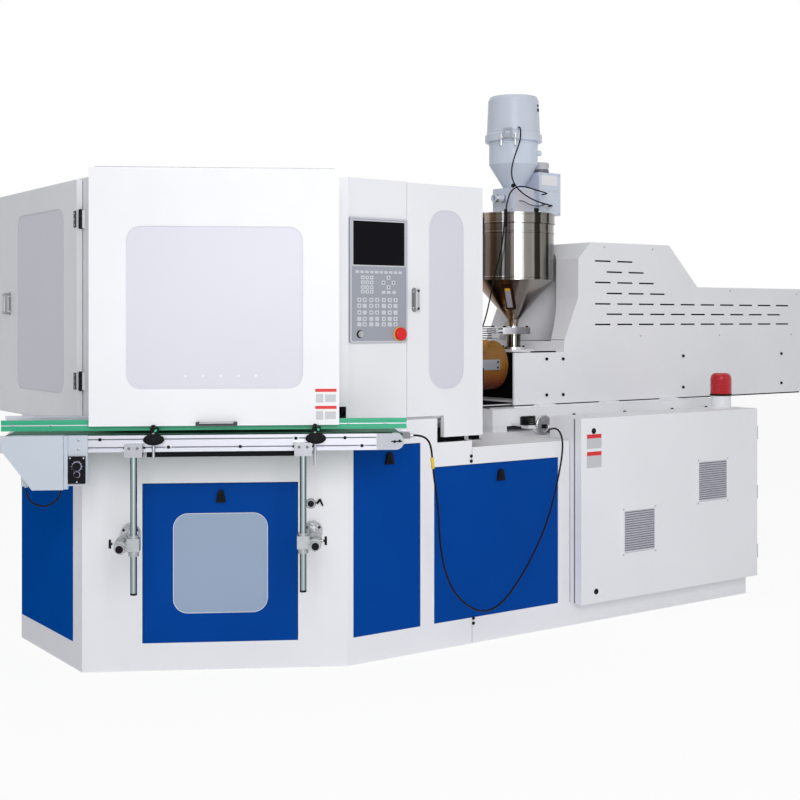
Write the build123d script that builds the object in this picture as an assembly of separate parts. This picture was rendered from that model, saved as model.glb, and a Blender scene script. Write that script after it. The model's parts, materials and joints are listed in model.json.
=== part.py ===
from build123d import *
import math
import os

# Three-station injection blow moulding machine, millimetres, +Z up.
# Origin: the turret's index axis at floor level. +X runs to the injection unit,
# -Y is the operator's side. The stripping station looks out of the slanted front
# face, where a belt conveyor carries the bottles away.

# Main sizes of the base and the three stations
HALF_WIDTH = 975.0
LEFT_X = -903.0
STATION_FACE = 789.5
JOINT_X = 819.0
BASE_END_X = 2800.0
TURRET_TOP = 1088.0
BED_BASE_TOP = 940.0
SKIN = 8.0
DECK = 60.0
FLOOR_PLATE = 12.0
PLINTH_END_X = BASE_END_X + 440.0

# Enclosure over the turret
ENCLOSURE_TOP = 2190.0
ENCLOSURE_LEFT = -845.0
ENCLOSURE_RIGHT = 889.0
ENCLOSURE_BACK = 883.0
DOOR_PLANE_Y = -945.0
WALL = 30.0
ROOF = 40.0
COLUMN_X = 433.0
DOOR_GAP = 3.0
DOOR_THICK = 27.0

# Bay in front of the stripping station and its lifting door
BAY_LEFT = 85.0
BAY_RIGHT = 1106.0
BAY_DEPTH = 300.0
BAY_BOTTOM = 1162.0
BAY_TOP = 2186.0
BAY_WALL = 20.0
FRONT_DOOR_LEFT = 76.0
FRONT_DOOR_RIGHT = 1115.0
FRONT_DOOR_BOTTOM = 1108.0
FRONT_DOOR_THICK = 30.0

# Lift-out panels of the base
PANEL_GAP = 3.0
PANEL_SEAT = 0.3
PANEL_SHEET = 3.0
PANEL_DEPTH = 22.0
LATCH_W = 44.0
LATCH_H = 55.0
LATCH_T = 14.0
LATCH_STEM = 6.0
RUNNING = 0.06

# Press and turret
CORE_Z = 1420.0
CLOSE_DROP = 60.0
HEAD_INRADIUS = 230.0
HEAD_THICK = 80.0
CORE_LENGTH = 180.0
CORE_R = 11.0
CORE_PITCH = 90.0
CORE_COUNT = 5
SPINDLE_R = 70.0
PIN_R = 60.0
HEAD_CAP = 70.0
MOULD_INNER = 250.0
MOULD_OUTER = 450.0
MOULD_HALF = 250.0
CAVITY_R = 22.0
PLATEN_INNER = 290.0
PLATEN_OUTER = 610.0
PLATEN_HALF = 480.0
PLATEN_THICK = 60.0
TIE_R = 28.0
TIE_INNER = 335.0
TIE_OUTER = 565.0
TIE_SIDE = 435.0
CROSSHEAD_BOTTOM = 1960.0
CROSSHEAD_THICK = 60.0
RAM_R = 45.0

# Conveyor along the front face
BELT_Z = 1073.0
BEAM_BOTTOM = 999.0
BEAM_H = 70.0
BEAM_T = 30.0
BEAM_OUT = 320.0
BEAM_BACK = 5.0
CONV_LEFT = -255.0
CONV_RIGHT = 1356.0
ROLLER_R = 35.0
BELT_T = 3.0
AXLE_Z = BELT_Z - BELT_T - ROLLER_R
POST_R = 14.0
POST_LEFT = 261.0
POST_RIGHT = 963.0
POST_OUT = 343.0
POST_BOTTOM = 410.0
STUB_Z = 609.0
STUB_LEFT = 210.0
STUB_RIGHT = 1012.0
STUB_R = 17.0
STUB_END = 400.0
TEE_REACH = 46.0

# Injection unit
BARREL_Z = 1290.0
COVER_R = 142.5
HOUSING_HALF = 351.0
HOUSING_FRONT = 1612.0
HOUSING_END = 4100.0
HOUSING_BOTTOM = 1077.0
HOUSING_LOW_TOP = 1367.0
HOUSING_TOP = 1428.0
PLATE = 12.0
BED_FRONT = 1405.0
BED_HALF = HOUSING_HALF + 64.0
BED_BOTTOM = 971.0
BED_TOP = 1063.0
HOPPER_X = 1903.0
HOPPER_R = 238.0
RING_R = 243.0
LOADER_X = 1905.0

# Electrical cabinet on the operator's side
CAB_LEFT = 1455.0
CAB_RIGHT = 2807.0
CAB_FRONT = -HALF_WIDTH - 60.0
CAB_BACK = CAB_FRONT + 215.0
CAB_BOTTOM = 114.0
CAB_TOP = 1053.0
CAB_DOOR = 20.0

os.makedirs("parts", exist_ok=True)


def block(x0, x1, y0, y1, z0, z1):
    """A box given by its lowest and highest corners."""
    solid = Box(x1 - x0, y1 - y0, z1 - z0, align=(Align.MIN, Align.MIN, Align.MIN))
    return Pos(x0, y0, z0) * solid


def rod(x, y, z0, z1, radius):
    """A vertical round bar."""
    return Pos(x, y, z0) * Cylinder(radius, z1 - z0, align=(Align.CENTER, Align.CENTER, Align.MIN))


def bar_x(x0, x1, y, z, radius):
    """A round bar along X."""
    return Pos(x0, y, z) * Rot(0, 90, 0) * Cylinder(
        radius, x1 - x0, align=(Align.CENTER, Align.CENTER, Align.MIN))


def bar_y(x, y0, y1, z, radius):
    """A round bar along Y."""
    return Pos(x, y0, z) * Rot(-90, 0, 0) * Cylinder(
        radius, y1 - y0, align=(Align.CENTER, Align.CENTER, Align.MIN))


def slab(plane, a0, a1, b0, b1, thick, radius=0.0):
    """A plate on a wall plane, from the plane outward; a and b run along the wall and up."""
    width = a1 - a0
    height = b1 - b0
    outline = RectangleRounded(width, height, radius) if radius > 0 else Rectangle(width, height)
    return extrude(plane * Pos((a0 + a1) / 2, (b0 + b1) / 2) * outline, thick)


def side_plane(y):
    """Wall plane that faces the operator, a = X and b = Z."""
    return Plane(origin=(0, y, 0), x_dir=(1, 0, 0), z_dir=(0, -1, 0))


def left_plane(x):
    """Wall plane at the left end, a = -Y and b = Z."""
    return Plane(origin=(x, 0, 0), x_dir=(0, -1, 0), z_dir=(-1, 0, 0))


def crossing(x=None, y=None):
    """Point where the slanted front face meets a plane of constant X or Y."""
    if y is None:
        return (x, -(STATION_FACE + 0.5 * x) / OUT)
    return (-2 * (STATION_FACE + OUT * y), y)


OUT = math.sqrt(3) / 2
CORNER_A = crossing(x=LEFT_X)
CORNER_B = crossing(y=-HALF_WIDTH)
FRONT_LENGTH = math.dist(CORNER_A, CORNER_B)


def front_plane(out=0.0):
    """Slanted front face, a = distance s from its left corner and b = Z, moved outward by out."""
    origin = (CORNER_A[0] - 0.5 * out, CORNER_A[1] - OUT * out, 0)
    return Plane(origin=origin, x_dir=(OUT, -0.5, 0), z_dir=(-0.5, -OUT, 0))


def front_block(s0, s1, o0, o1, z0, z1):
    """A box in the slanted face's own directions."""
    return slab(front_plane(o0), s0, s1, z0, z1, o1 - o0)


def front_bar(s, o0, o1, z, radius):
    """A round bar that stands out of the slanted face."""
    return extrude(front_plane(o0) * Pos(s, z) * Circle(radius), o1 - o0)


def front_rod(s, o, z0, z1, radius):
    """A vertical round bar placed in the slanted face's directions."""
    x = CORNER_A[0] + OUT * s - 0.5 * o
    y = CORNER_A[1] - 0.5 * s - OUT * o
    return rod(x, y, z0, z1, radius)


def front_along(s0, s1, o, z, radius):
    """A round bar along the conveyor."""
    plane = front_plane(o)
    start = plane.from_local_coords((s0, z, 0))
    path = Plane(origin=start, z_dir=plane.x_dir)
    return extrude(path * Circle(radius), s1 - s0)


def plan(points, z0, z1, inset=0.0):
    """A prism on a plan outline, its sides moved inward by inset."""
    outline = Polygon(*points, align=None)
    if inset > 0:
        outline = offset(outline, -inset, kind=Kind.INTERSECTION)
    return Pos(0, 0, z0) * extrude(outline, z1 - z0)


def at_station(shape, angle):
    """Turns a piece that is built for the +X station to another station."""
    return Rot(0, 0, angle) * shape


def join(pieces):
    """Fuses a list of solids into one."""
    whole = pieces[0]
    for piece in pieces[1:]:
        whole = whole + piece
    return whole


def gland(end, toward, radius, length):
    """A short round seat that a cable's end meets face to face."""
    axis = (Vector(*toward) - Vector(*end)).normalized()
    seat = Plane(origin=Vector(*end) - axis * length, z_dir=axis)
    return extrude(seat * Circle(radius), length)


def save(name, shape):
    """Writes one node."""
    export_step(shape, "parts/" + name + ".step")


# Base
FRONT_PANEL = (264.0, 944.0, 122.0, 825.0)
NARROW_PANEL = (142.0, 510.0, 123.0, 975.0)
WIDE_PANEL = (595.0, 1370.0, 124.0, 856.0)
LEFT_PANEL = (-388.0, 281.0, 115.0, 975.0)
NOTCH = (610.0, 819.0, 275.0, 973.0)


def opening(plane, panel, depth=60.0):
    """The hole that a lift-out panel fills."""
    a0, a1, b0, b1 = panel
    cut = slab(plane, a0 - PANEL_GAP, a1 + PANEL_GAP, b0 - PANEL_SEAT, b1 + PANEL_GAP, depth)
    return cut.moved(Location(plane.z_dir * (-depth / 2)))


def turret_base():
    """Welded hexagonal base with open bays, a notch at the top and the index pedestal."""
    outline = [CORNER_A, CORNER_B, (JOINT_X, -HALF_WIDTH), (JOINT_X, HALF_WIDTH),
               (CORNER_B[0], HALF_WIDTH), (LEFT_X, -CORNER_A[1])]
    body = plan(outline, 0, TURRET_TOP)
    notch_x0, notch_x1, notch_depth, notch_z = NOTCH
    notch = block(notch_x0, notch_x1 + 1, -HALF_WIDTH - 1, -HALF_WIDTH + notch_depth, notch_z, TURRET_TOP + 1)
    room = plan(outline, FLOOR_PLATE, TURRET_TOP - DECK, SKIN)
    room = room - block(notch_x0 - SKIN, notch_x1 + 1, -HALF_WIDTH, -HALF_WIDTH + notch_depth + SKIN,
                        notch_z - SKIN, TURRET_TOP)
    body = body - notch - room
    body = body - opening(front_plane(), FRONT_PANEL)
    body = body - opening(side_plane(-HALF_WIDTH), NARROW_PANEL)
    body = body - opening(left_plane(LEFT_X), LEFT_PANEL)
    a0, a1, b0, b1 = WIDE_PANEL
    body = body - block(a0 - PANEL_GAP, JOINT_X + 1, -HALF_WIDTH - 1, -HALF_WIDTH + SKIN,
                        b0 - PANEL_SEAT, b1 + PANEL_GAP)
    body = body - block(JOINT_X - SKIN - 1, JOINT_X + 1, -HALF_WIDTH - 1, -HALF_WIDTH + 400,
                        b0 - PANEL_SEAT, b1 + PANEL_GAP)
    pedestal = rod(0, 0, TURRET_TOP - DECK, PEDESTAL_TOP, 190) + rod(0, 0, 700, TURRET_TOP - DECK, 230)
    bore = rod(0, 0, 800, PEDESTAL_TOP + 1, SPINDLE_R + RUNNING)
    return (body + pedestal) - bore


PEDESTAL_TOP = 1240.0


def injection_base():
    """Rectangular base under the injection unit, recessed for the electrical cabinet."""
    body = block(JOINT_X, BASE_END_X, -HALF_WIDTH, HALF_WIDTH, 0, BED_BASE_TOP)
    recess = block(CAB_LEFT - SKIN, BASE_END_X + 1, -HALF_WIDTH - 1, CAB_BACK + SKIN, CAB_BOTTOM, BED_BASE_TOP + 1)
    room = block(JOINT_X + SKIN, BASE_END_X - SKIN, -HALF_WIDTH + SKIN, HALF_WIDTH - SKIN,
                 FLOOR_PLATE, BED_BASE_TOP - DECK)
    room = room - block(CAB_LEFT - 2 * SKIN, BASE_END_X, -HALF_WIDTH, CAB_BACK + 2 * SKIN,
                        CAB_BOTTOM - SKIN, BED_BASE_TOP)
    body = body - recess - room
    a0, a1, b0, b1 = WIDE_PANEL
    body = body - block(JOINT_X - 1, a1 + PANEL_GAP, -HALF_WIDTH - 1, -HALF_WIDTH + SKIN,
                        b0 - PANEL_SEAT, b1 + PANEL_GAP)
    body = body - block(JOINT_X - 1, JOINT_X + SKIN + 1, -HALF_WIDTH - 1, -HALF_WIDTH + 400,
                        b0 - PANEL_SEAT, b1 + PANEL_GAP)
    plinth = block(BASE_END_X, PLINTH_END_X, -BED_HALF, BED_HALF, 0, BED_BASE_TOP)
    plinth = plinth - block(BASE_END_X, PLINTH_END_X - SKIN, -BED_HALF + SKIN, BED_HALF - SKIN,
                            FLOOR_PLATE, BED_BASE_TOP - DECK)
    return body + plinth


# Enclosure
LEFT_DOOR = (-829.0, 255.0, 1088.0, 2182.0)
LEFT_WINDOW = (-542.0, 99.0, 1210.0, 2066.0, 70.0)
RIGHT_DOOR = (436.0, 884.0, 1100.0, 2186.0)
RIGHT_LOWER = (651.0, 884.0, 997.0, 1110.0)
RIGHT_WINDOW = (562.0, 769.0, 1225.0, 2068.0, 90.0)
FRONT_WINDOW = (229.0, 963.0, 1262.0, 1943.0, 60.0)
LEFT_HINGE = (-860.0, -264.0)
RIGHT_HINGE = (893.0, -961.0)
KNUCKLE_R = 8.5
KNUCKLE_H = 80.0
FRONT_HINGE_R = 2.7
HINGE_ZS = (1275.0, 2004.0)
BARREL_PORT = (170.0, 1088.0, 1460.0)
HMI = (113.0, 430.0, 1447.0, 2014.0)
HMI_DEPTH = 28.0


def enclosure_frame():
    """Guard housing: walls and roof, control column and front bay, with the door openings."""
    corner_c = crossing(x=ENCLOSURE_LEFT)
    outline = [corner_c, CORNER_B, (COLUMN_X, -HALF_WIDTH), (COLUMN_X, DOOR_PLANE_Y),
               (ENCLOSURE_RIGHT, DOOR_PLANE_Y), (ENCLOSURE_RIGHT, ENCLOSURE_BACK), (ENCLOSURE_LEFT, ENCLOSURE_BACK)]
    shell = plan(outline, TURRET_TOP, ENCLOSURE_TOP)
    shell = shell - plan(outline, TURRET_TOP - 1, ENCLOSURE_TOP - ROOF, WALL)
    a0, a1, b0, b1 = LEFT_DOOR
    shell = shell - block(ENCLOSURE_LEFT - 1, ENCLOSURE_LEFT + WALL + 1, -a1 + 22, -a0 - 22, b0 + 22, b1 - 22)
    a0, a1, b0, b1 = RIGHT_DOOR
    shell = shell - block(a0 + 22, a1 - 22, DOOR_PLANE_Y - 1, DOOR_PLANE_Y + WALL + 1, b0 + 10, b1 - 30)
    shell = shell - front_block(BAY_LEFT + BAY_WALL, BAY_RIGHT - BAY_WALL, -WALL - 1, 1, BAY_BOTTOM, BAY_TOP - BAY_WALL)
    shell = shell - front_block(0, FRONT_LENGTH - 8, -WALL - 1, 1, TURRET_TOP - 1, BAY_BOTTOM)
    half, port_z0, port_z1 = BARREL_PORT
    shell = shell - block(ENCLOSURE_RIGHT - WALL - 1, ENCLOSURE_RIGHT + 1, -half, half, port_z0 - 1, port_z1)
    a0, a1, b0, b1 = HMI
    shell = shell - block(a0 + 10, a1 - 10, -HALF_WIDTH - 1, -HALF_WIDTH + WALL + 1, b0 + 10, b1 - 10)
    bay = front_block(BAY_LEFT, BAY_RIGHT, -1, BAY_DEPTH, BAY_BOTTOM, BAY_TOP)
    bay = bay - front_block(BAY_LEFT + BAY_WALL, BAY_RIGHT - BAY_WALL, -2, BAY_DEPTH + 1,
                            BAY_BOTTOM - 1, BAY_TOP - BAY_WALL)
    tray = plan([(ENCLOSURE_LEFT, -CORNER_A[1] + 60), (ENCLOSURE_LEFT, ENCLOSURE_BACK), (-60, ENCLOSURE_BACK)],
                TURRET_TOP, TURRET_TOP + 10)
    knuckles = []
    for z in HINGE_ZS:
        left_x, left_y = LEFT_HINGE
        knuckles.append(rod(left_x, left_y, z - KNUCKLE_H / 2, z + KNUCKLE_H / 2, KNUCKLE_R))
        knuckles.append(block(left_x, ENCLOSURE_LEFT, left_y - KNUCKLE_R, left_y,
                              z - KNUCKLE_H / 2, z + KNUCKLE_H / 2))
        right_x, right_y = RIGHT_HINGE
        knuckles.append(rod(right_x, right_y, z - KNUCKLE_H / 2, z + KNUCKLE_H / 2, KNUCKLE_R))
        knuckles.append(block(ENCLOSURE_RIGHT, right_x + 4, right_y, right_y + 40,
                              z - KNUCKLE_H / 2, z + KNUCKLE_H / 2))
    hinge_s0 = FRONT_DOOR_LEFT + 20
    hinge_s1 = FRONT_DOOR_RIGHT - 20
    hinge_o = BAY_DEPTH + DOOR_GAP
    knuckles.append(front_along(hinge_s0, hinge_s1, hinge_o, BAY_TOP + DOOR_GAP, FRONT_HINGE_R))
    knuckles.append(front_block(hinge_s0, hinge_s1, BAY_DEPTH - 20, BAY_DEPTH - 1, BAY_TOP - 1, BAY_TOP + DOOR_GAP + 1.5))
    knuckles.append(front_block(hinge_s0, hinge_s1, BAY_DEPTH - 2, hinge_o, BAY_TOP + DOOR_GAP - 1.5,
                                BAY_TOP + DOOR_GAP + 1.5))
    return join([shell, bay, tray] + knuckles)


def grip(plane, a, b0, b1, reach=34.0, thick=16.0, wide=20.0):
    """A C-shaped pull handle on a door, upright."""
    whole = slab(plane, a - wide / 2, a + wide / 2, b0, b1, reach, 5)
    return whole - slab(plane, a - wide, a + wide, b0 + thick, b1 - thick, reach - thick)


def lying_grip(plane, a0, a1, b, reach=34.0, thick=14.0, tall=15.0):
    """A C-shaped pull handle that lies along a door's edge."""
    whole = slab(plane, a0, a1, b - tall / 2, b + tall / 2, reach, 5)
    return whole - slab(plane, a0 + thick, a1 - thick, b - tall, b + tall, reach - thick)


def hollow_door(plane, outline, window, thick, sheet=2.5, seat=22.0):
    """A folded door tray with a window hole and a rebate behind it for the pane."""
    a0, a1, b0, b1 = outline
    w0, w1, h0, h1, radius = window
    tray = slab(plane, a0, a1, b0, b1, thick)
    tray = tray - slab(plane, a0 + sheet, a1 - sheet, b0 + sheet, b1 - sheet, thick - sheet)
    frame = slab(plane, w0 - seat, w1 + seat, h0 - seat, h1 + seat, thick, radius)
    tray = tray + frame
    pane_hole = slab(plane, w0 - seat / 2, w1 + seat / 2, h0 - seat / 2, h1 + seat / 2, thick - sheet, radius)
    return tray - slab(plane, w0, w1, h0, h1, thick, radius) - pane_hole


def pane(plane, window, thick, sheet=2.5, seat=22.0, glass=6.0):
    """The window sheet that lies in a door's rebate, against the outer skin."""
    w0, w1, h0, h1, radius = window
    inner = Plane(origin=plane.origin + plane.z_dir * (thick - sheet - glass), x_dir=plane.x_dir, z_dir=plane.z_dir)
    return slab(inner, w0 - seat / 2 + 0.5, w1 + seat / 2 - 0.5, h0 - seat / 2 + 0.5, h1 + seat / 2 - 0.5, glass, radius)


FRONT_DOOR_PLANE = front_plane(BAY_DEPTH + DOOR_GAP)
LEFT_DOOR_PLANE = left_plane(ENCLOSURE_LEFT - DOOR_GAP)
RIGHT_DOOR_PLANE = side_plane(DOOR_PLANE_Y - DOOR_GAP)


def front_door():
    """Lifting door of the bay with a wide window and a handle at its lower edge."""
    outline = (FRONT_DOOR_LEFT, FRONT_DOOR_RIGHT, FRONT_DOOR_BOTTOM, BAY_TOP)
    door = hollow_door(FRONT_DOOR_PLANE, outline, FRONT_WINDOW, FRONT_DOOR_THICK)
    outer = front_plane(BAY_DEPTH + DOOR_GAP + FRONT_DOOR_THICK)
    return door + lying_grip(outer, 518, 687, FRONT_DOOR_BOTTOM + 9)


def left_door():
    """Tall hinged door at the left end."""
    door = hollow_door(LEFT_DOOR_PLANE, LEFT_DOOR, LEFT_WINDOW, DOOR_THICK)
    return door + grip(left_plane(ENCLOSURE_LEFT - DOOR_GAP - DOOR_THICK), -644, 1580, 1684)


def right_door():
    """Narrow hinged door beside the control column, with a flap that reaches below the deck."""
    door = hollow_door(RIGHT_DOOR_PLANE, RIGHT_DOOR, RIGHT_WINDOW, DOOR_THICK)
    a0, a1, b0, b1 = RIGHT_LOWER
    flap = slab(RIGHT_DOOR_PLANE, a0, a1, b0, b1, DOOR_THICK)
    door = door + flap
    return door + grip(side_plane(DOOR_PLANE_Y - DOOR_GAP - DOOR_THICK), 476, 1593, 1694)


# Lift-out panels and their latches
def lift_panel(plane, panel, window=None):
    """A folded blue sheet panel that fills its opening, flush with the skin."""
    a0, a1, b0, b1 = panel
    inner = Plane(origin=plane.origin - plane.z_dir * PANEL_DEPTH, x_dir=plane.x_dir, z_dir=plane.z_dir)
    tray = slab(inner, a0, a1, b0, b1, PANEL_DEPTH)
    tray = tray - slab(inner, a0 + PANEL_SHEET, a1 - PANEL_SHEET, b0 + PANEL_SHEET, b1 - PANEL_SHEET,
                       PANEL_DEPTH - PANEL_SHEET)
    if window:
        w0, w1, h0, h1, radius = window
        tray = tray - slab(inner, w0, w1, h0, h1, PANEL_DEPTH, radius)
    return tray


def latch_hole(plane, a, b):
    """The hole for a latch's stem."""
    inner = Plane(origin=plane.origin - plane.z_dir * PANEL_DEPTH, x_dir=plane.x_dir, z_dir=plane.z_dir)
    return extrude(inner * Pos(a, b) * Circle(LATCH_STEM + RUNNING), PANEL_DEPTH + 1)


def latch(plane, a, b):
    """A black bell-shaped turn latch: body in front of the sheet, stem and nut behind it."""
    half = LATCH_W / 2
    neck = half * 0.62
    top = LATCH_H * 0.5
    with BuildSketch() as bell:
        with BuildLine():
            Line((-half, -top), (half, -top))
            Spline([(half, -top), (half * 0.82, -top * 0.1), (neck, top * 0.62)])
            ThreePointArc((neck, top * 0.62), (0, top), (-neck, top * 0.62))
            Spline([(-neck, top * 0.62), (-half * 0.82, -top * 0.1), (-half, -top)])
        make_face()
    front = Plane(origin=plane.origin + plane.z_dir * 0.3, x_dir=plane.x_dir, z_dir=plane.z_dir)
    body = extrude(front * Pos(a, b) * bell.sketch, LATCH_T)
    stem_plane = Plane(origin=plane.origin - plane.z_dir * (PANEL_SHEET + 8), x_dir=plane.x_dir, z_dir=plane.z_dir)
    stem = extrude(stem_plane * Pos(a, b) * Circle(LATCH_STEM), PANEL_SHEET + 9)
    nut = extrude(stem_plane * Pos(a, b) * RegularPolygon(9, 6), 7)
    return body + stem + nut


PANEL_WINDOW = (395.0, 813.0, 250.0, 694.0, 66.0)
FRONT_LATCH = (605.0, 769.0)
NARROW_LATCH = (332.0, 918.0)
WIDE_LATCH = (993.0, 798.0)


def front_panel_window():
    """Frosted pane behind the front panel's cut-out, held on its inner face."""
    w0, w1, h0, h1, radius = PANEL_WINDOW
    plane = front_plane(-PANEL_SHEET - 4)
    return slab(plane, w0 - 18, w1 + 18, h0 - 18, h1 + 18, 4, radius)


# Cabinet
GRILLES = ((1741.0, 1989.0, 332.0, 579.0), (2303.0, 2554.0, 552.0, 797.0))
LOCKS = ((1538.0, 988.0), (1553.0, 174.0))
CAB_HINGE = (CAB_RIGHT + 2.0, CAB_FRONT - 11.0)
GRILLE_SLATS = 18


def cabinet_body():
    """Open-fronted sheet cabinet with its mounting plate, rails and switchgear."""
    body = block(CAB_LEFT, CAB_RIGHT, CAB_FRONT, CAB_BACK, CAB_BOTTOM, CAB_TOP)
    body = body - block(CAB_LEFT + 3, CAB_RIGHT - 3, CAB_FRONT - 1, CAB_BACK - 3, CAB_BOTTOM + 3, CAB_TOP - 3)
    lip = 22.0
    rim = block(CAB_LEFT, CAB_RIGHT, CAB_FRONT, CAB_FRONT + 3, CAB_BOTTOM, CAB_TOP)
    rim = rim - block(CAB_LEFT + lip, CAB_RIGHT - lip, CAB_FRONT - 1, CAB_FRONT + 4, CAB_BOTTOM + lip, CAB_TOP - lip)
    plate = block(CAB_LEFT + 60, CAB_RIGHT - 60, CAB_BACK - 25, CAB_BACK - 22, CAB_BOTTOM + 60, CAB_TOP - 60)
    pieces = [body, rim, plate]
    for x in (CAB_LEFT + 80, CAB_RIGHT - 80):
        for z in (CAB_BOTTOM + 80, CAB_TOP - 80):
            pieces.append(bar_y(x, CAB_BACK - 23, CAB_BACK - 2, z, 6))
    for row, (z, height, depth) in enumerate(((820, 130, 90), (580, 150, 110), (330, 110, 80))):
        pieces.append(block(CAB_LEFT + 110, CAB_RIGHT - 110, CAB_BACK - 33, CAB_BACK - 24, z - 17, z + 17))
        count = 9 - 2 * row
        pitch = (CAB_RIGHT - CAB_LEFT - 300) / count
        for index in range(count):
            x = CAB_LEFT + 150 + pitch * (index + 0.5)
            pieces.append(block(x - pitch * 0.33, x + pitch * 0.33, CAB_BACK - 32 - depth, CAB_BACK - 30,
                                z - height / 2, z + height / 2))
    hinge_x, hinge_y = CAB_HINGE
    for z in (250.0, 583.0, 916.0):
        pieces.append(rod(hinge_x, hinge_y, z - 35, z + 35, 6))
        pieces.append(block(CAB_RIGHT - 1, hinge_x + 2, hinge_y, CAB_FRONT + 30, z - 35, z + 35))
    return join(pieces) + beacon_foot()


def cabinet_door():
    """Cabinet door with two louvred grilles and the lower lock."""
    right = CAB_HINGE[0] - 6.6
    plane = side_plane(CAB_FRONT)
    door = slab(plane, CAB_LEFT, right, CAB_BOTTOM, CAB_TOP, CAB_DOOR)
    door = door - slab(plane, CAB_LEFT + 2.5, right - 2.5, CAB_BOTTOM + 2.5, CAB_TOP - 2.5, CAB_DOOR - 2.5)
    outer = side_plane(CAB_FRONT - CAB_DOOR)
    for a0, a1, b0, b1 in GRILLES:
        door = door - slab(plane, a0 + 12, a1 - 12, b0 + 12, b1 - 12, CAB_DOOR + 1)
        frame = slab(outer, a0, a1, b0, b1, 6) - slab(outer, a0 + 14, a1 - 14, b0 + 14, b1 - 14, 7)
        pitch = (b1 - b0 - 28) / GRILLE_SLATS
        slats = []
        for index in range(GRILLE_SLATS):
            z = b0 + 14 + pitch * (index + 0.5)
            slat = Pos((a0 + a1) / 2, CAB_FRONT - CAB_DOOR - 1, z) * Rot(35, 0, 0) * Box(a1 - a0 - 26, 2.4, pitch * 1.1)
            slats.append(slat)
        door = join([door, frame] + slats)
    x, z = LOCKS[1]
    door = door + bar_y(x, CAB_FRONT - CAB_DOOR - 6, CAB_FRONT, z, 15)
    x, z = LOCKS[0]
    door = door + bar_y(x, CAB_FRONT - CAB_DOOR - 4, CAB_FRONT, z, 15)
    return door - bar_y(x, CAB_FRONT - CAB_DOOR - 5, CAB_FRONT + 1, z, 9 + RUNNING)


def upper_lock():
    """Quarter-turn lock insert of the cabinet door."""
    x, z = LOCKS[0]
    insert = bar_y(x, CAB_FRONT - CAB_DOOR - 6, CAB_FRONT + 2, z, 9)
    return insert - block(x - 1.5, x + 1.5, CAB_FRONT - CAB_DOOR - 7, CAB_FRONT - CAB_DOOR - 1, z - 6, z + 6)


BEACON = (CAB_RIGHT - 117.0, CAB_FRONT + 145.0)


def beacon_foot():
    """Round foot of the warning light, with its rim."""
    x, y = BEACON
    return rod(x, y, CAB_TOP - 1, CAB_TOP + 68, 56) + rod(x, y, CAB_TOP + 68, CAB_TOP + 74, 60)


def beacon_dome():
    """Red ribbed lens with a rounded top."""
    x, y = BEACON
    dome = rod(x, y, CAB_TOP + 74, CAB_TOP + 197, 58)
    dome = fillet(dome.edges().sort_by(Axis.Z)[-1], 30)
    dome = dome - rod(x, y, CAB_TOP + 73, CAB_TOP + 170, 50)
    return dome


# Operator panel
ESTOP = (384.0, 1486.0)
KEY_SWITCH = (167.0, 1486.0)
SCREEN = (129.0, 413.0, 1798.0, 1997.0)
BEZEL_T = 12.0
KEY_T = 1.2
KEY_COLUMNS = (162, 191, 227, 259, 296, 329, 361)
KEY_ROWS = (1641, 1614, 1584, 1555, 1530)
NUMBER_COLUMNS = (181, 204.5, 229)
NUMBER_ROWS = (1742, 1720, 1698, 1678)
ARROW_KEYS = ((322, 1743), (322, 1699), (294, 1720), (350, 1720))
ENTER_COLUMNS = (295, 323, 353)
ENTER_Z = 1676
SCREEN_KEYS = 10
SCREEN_KEY_X = 151
SCREEN_KEY_PITCH = 26.2
SCREEN_KEY_Z = 1767
ESTOP_R = 30.0
ESTOP_LIFT = 8.0
STEM_R = 11.0
SELECTOR_R = 14.0


def operator_panel():
    """Control panel housing in the column: bezel, key field and seats of the two switches."""
    a0, a1, b0, b1 = HMI
    plane = side_plane(-HALF_WIDTH)
    housing = block(a0 + 10.5, a1 - 10.5, -HALF_WIDTH, -HALF_WIDTH + HMI_DEPTH, b0 + 10.5, b1 - 10.5)
    face = slab(plane, a0, a1, b0, b1, BEZEL_T, 10)
    panel = housing + face
    s0, s1, t0, t1 = SCREEN
    panel = panel - slab(plane, s0, s1, t0, t1, 13)
    pieces = [panel]
    key_plane = side_plane(-HALF_WIDTH - BEZEL_T)
    keys = [(x, z, 20, 17) for z in KEY_ROWS for x in KEY_COLUMNS]
    keys += [(x, z, 17, 15) for z in NUMBER_ROWS for x in NUMBER_COLUMNS]
    keys += [(x, z, 18, 16) for x, z in ARROW_KEYS]
    keys += [(x, ENTER_Z, 18, 11) for x in ENTER_COLUMNS]
    keys += [(SCREEN_KEY_X + SCREEN_KEY_PITCH * index, SCREEN_KEY_Z, 17, 10) for index in range(SCREEN_KEYS)]
    for x, z, wide, tall in keys:
        pieces.append(slab(key_plane, x - wide / 2, x + wide / 2, z - tall / 2, z + tall / 2, KEY_T))
    panel = join(pieces)
    for x, z in (ESTOP, KEY_SWITCH):
        panel = panel - bar_y(x, -HALF_WIDTH - BEZEL_T - 2, -HALF_WIDTH + HMI_DEPTH + 2, z, STEM_R + RUNNING)
    return panel


def operator_screen():
    """Display glass set into the bezel."""
    s0, s1, t0, t1 = SCREEN
    return slab(side_plane(-HALF_WIDTH), s0 + 0.5, s1 - 0.5, t0 + 0.5, t1 - 0.5, 9)


def estop_button():
    """Mushroom head on its stem, clear of the panel's face by its travel."""
    x, z = ESTOP
    head_y = -HALF_WIDTH - BEZEL_T - ESTOP_LIFT
    head = bar_y(x, head_y - 15, head_y, z, ESTOP_R)
    head = fillet(head.edges().sort_by(Axis.Y)[0], 8)
    return head + bar_y(x, head_y - 1, -HALF_WIDTH + 20, z, STEM_R)


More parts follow.
